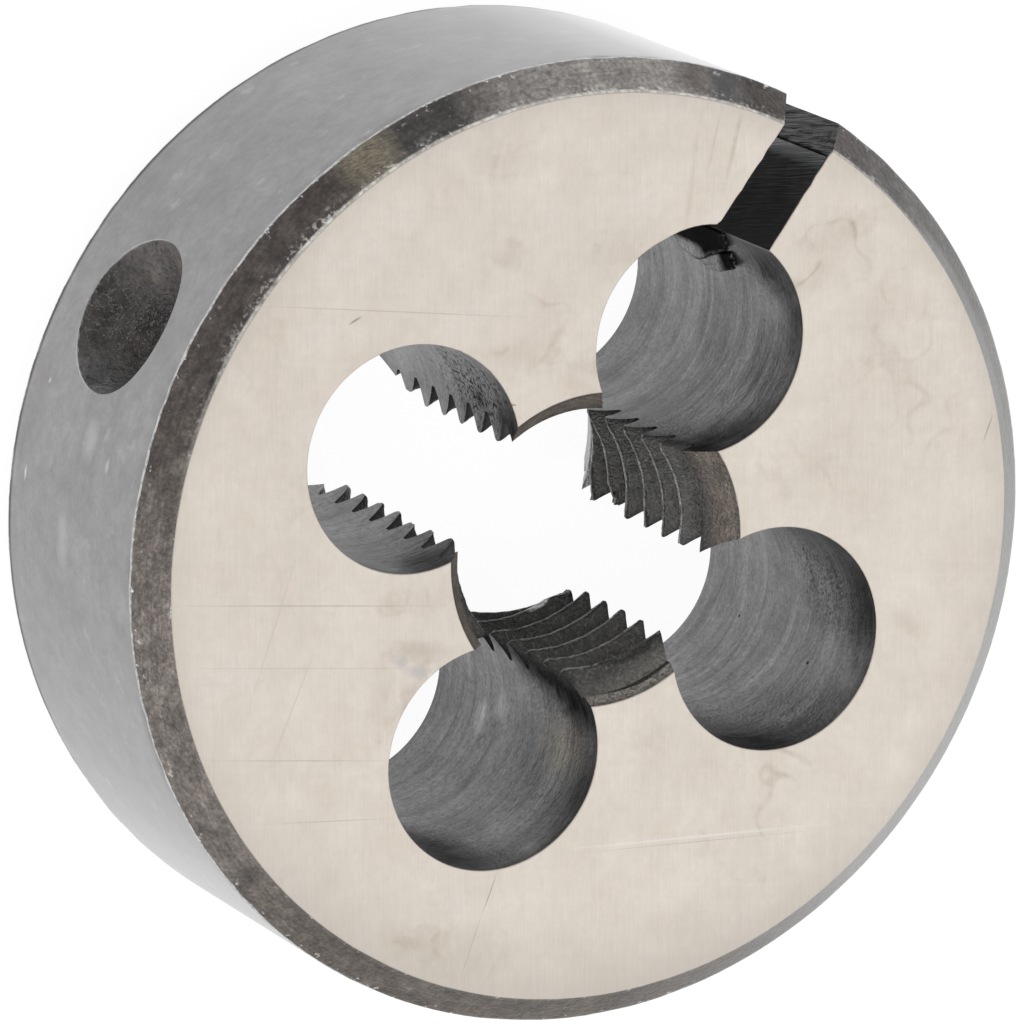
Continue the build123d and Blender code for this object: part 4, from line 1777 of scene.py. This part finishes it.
# Two burrs in the upper chip hole: thin tongues that the saw pushed out of the slot's lower wall.
# They hang down over the hole's wall and curl away from it towards the front.
burr_steel = Finish("burr_steel", gray(0.27), 0.4, 0.6)
burr_steel.shine = 0.1
burr_shade = burr_steel.attribute("burr_shade")
cloud = burr_steel.group("blotches", Size=0.4, Softness=0.5, Seed=61.0)
burr_steel.tint(cloud, 0.6, 1.4)
creases = burr_steel.rings(0.1, 62.0, 0.5)
burr_steel.tint(creases.share(0.3, 0.7), 0.7, 1.3)
rag = burr_steel.group("blotches", Size=0.35, Softness=0.8, Seed=64.0)
# Painted shade: the tongue is blackened past a given angle round the hole, and above and below
# given heights.
burr_steel.dull_black_coat((burr_shade + rag * 0.6).share(0.3, 1.0), gray(0.016))
grit = burr_steel.group("blotches", Size=0.09, Softness=0.5, Detail=1.5, Seed=63.0)
burr_steel.tint(grit, 0.6, 1.4)
tip_light = burr_steel.attribute("rubbed") * grit.share(0.4, 0.6)
burr_steel.coat(tip_light * 0.7, gray(0.3), 0.35)
burr_steel.rise(creases, 0.02)
burr_steel.rise(grit, 0.015)
burr_material = burr_steel.done()
burr_thickness = 0.06
burr_gap = 0.01
burr_columns = 16
burr_rows = 14
tip_rag = 0.08
lift_waver = 0.05
height_waver = 0.1


def along_line(line, share):
    """A place along a line of (angle, height, lift) corners that are spread evenly."""
    span = share * (len(line) - 1)
    n = min(int(span), len(line) - 2)
    return [low + (high - low) * (span - n) for low, high in zip(line[n], line[n + 1])]


def hang_burr(name, root, tip, shade_bounds, seed):
    """One tongue, from its root line to its torn tip line. Each line is a run of corners: angle
    round the hole, height, and how far the tongue stands off the wall there."""
    burr = bmesh.new()
    burr_shade_layer = burr.verts.layers.float.new("burr_shade")
    tips = burr.verts.layers.float.new("rubbed")
    sides = []
    for inner in (0, 1):
        rows = []
        for row in range(burr_rows + 1):
            along = row / burr_rows
            line = []
            for column in range(burr_columns + 1):
                rising = column / burr_columns
                rag = noise.noise(Vector((rising * 4, seed, 0))) + 0.5 * noise.noise(
                    Vector((rising * 11, seed, 4))
                )
                reach = along * (1 + tip_rag * rag)
                near, far = along_line(root, rising), along_line(tip, rising)
                angle, height, lift = (a + (b - a) * reach for a, b in zip(near, far))
                lift += lift_waver * noise.noise(Vector((rising * 3, along * 3, seed)))
                height += height_waver * noise.noise(Vector((along * 3, seed, 9))) * rising
                radius = chip_hole_radius - burr_gap - max(lift, 0.0) - burr_thickness * inner
                azimuth = math.radians(angle)
                vert = burr.verts.new(
                    (
                        (slot_hole.x + radius * math.cos(azimuth)) * mm,
                        (slot_hole.y + radius * math.sin(azimuth)) * mm,
                        height * mm,
                    )
                )
                # The painted shade mask: past the first bound's angle, above the second's height
                # and below the third's.
                vert[burr_shade_layer] = max(
                    (angle - shade_bounds[0]) / 5, (height - shade_bounds[1]) / 0.6, (shade_bounds[2] - height) / 0.3
                )
                vert[tips] = max(0.0, along * 8 - 7, rising * 14 - 13)
                line.append(vert)
            rows.append(line)
        sides.append(rows)
    for rows in sides:
        for row in range(burr_rows):
            for column in range(burr_columns):
                burr.faces.new(
                    (
                        rows[row][column],
                        rows[row][column + 1],
                        rows[row + 1][column + 1],
                        rows[row + 1][column],
                    )
                )
    rims = []
    for rows in sides:
        rim = list(rows[0]) + [line[-1] for line in rows[1:]]
        rim += list(reversed(rows[-1]))[1:] + [line[0] for line in reversed(rows[1:-1])]
        rims.append(rim)
    for n in range(len(rims[0])):
        m = (n + 1) % len(rims[0])
        burr.faces.new((rims[0][n], rims[0][m], rims[1][m], rims[1][n]))
    for face in burr.faces:
        face.smooth = True
    bmesh.ops.recalc_face_normals(burr, faces=burr.faces)
    mesh = bpy.data.meshes.new(name)
    burr.to_mesh(mesh)
    burr.free()
    mesh.materials.append(burr_material)
    piece = bpy.data.objects.new(name, mesh)
    scene.collection.objects.link(piece)
    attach(piece, "root")


hang_burr(
    "slot_burr_deep",
    ((77, 2.8, 0.0), (77.5, 5.0, 0.01), (77.5, 7.0, 0.02)),
    (
        (57, 3.0, 0.05),
        (49.5, 3.2, 0.09),
        (48, 4.3, 0.14),
        (53.5, 5.05, 0.14),
        (59, 5.8, 0.13),
        (65, 6.6, 0.11),
    ),
    (56.5, 4.4, 3.25),
    1.7,
)
hang_burr(
    "slot_burr_shallow",
    ((46.5, 4.1, 0.03), (51.6, 4.75, 0.04), (58.4, 5.75, 0.04), (60.5, 6.4, 0.03)),
    ((43.9, 4.5, 0.06), (45.7, 5.36, 0.1), (51.6, 6.34, 0.12), (54.5, 6.55, 0.1)),
    (90, 5.3, 0),
    5.3,
)

sizes = [[list(corner) for corner in box] for box in (cad_bounds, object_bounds())]
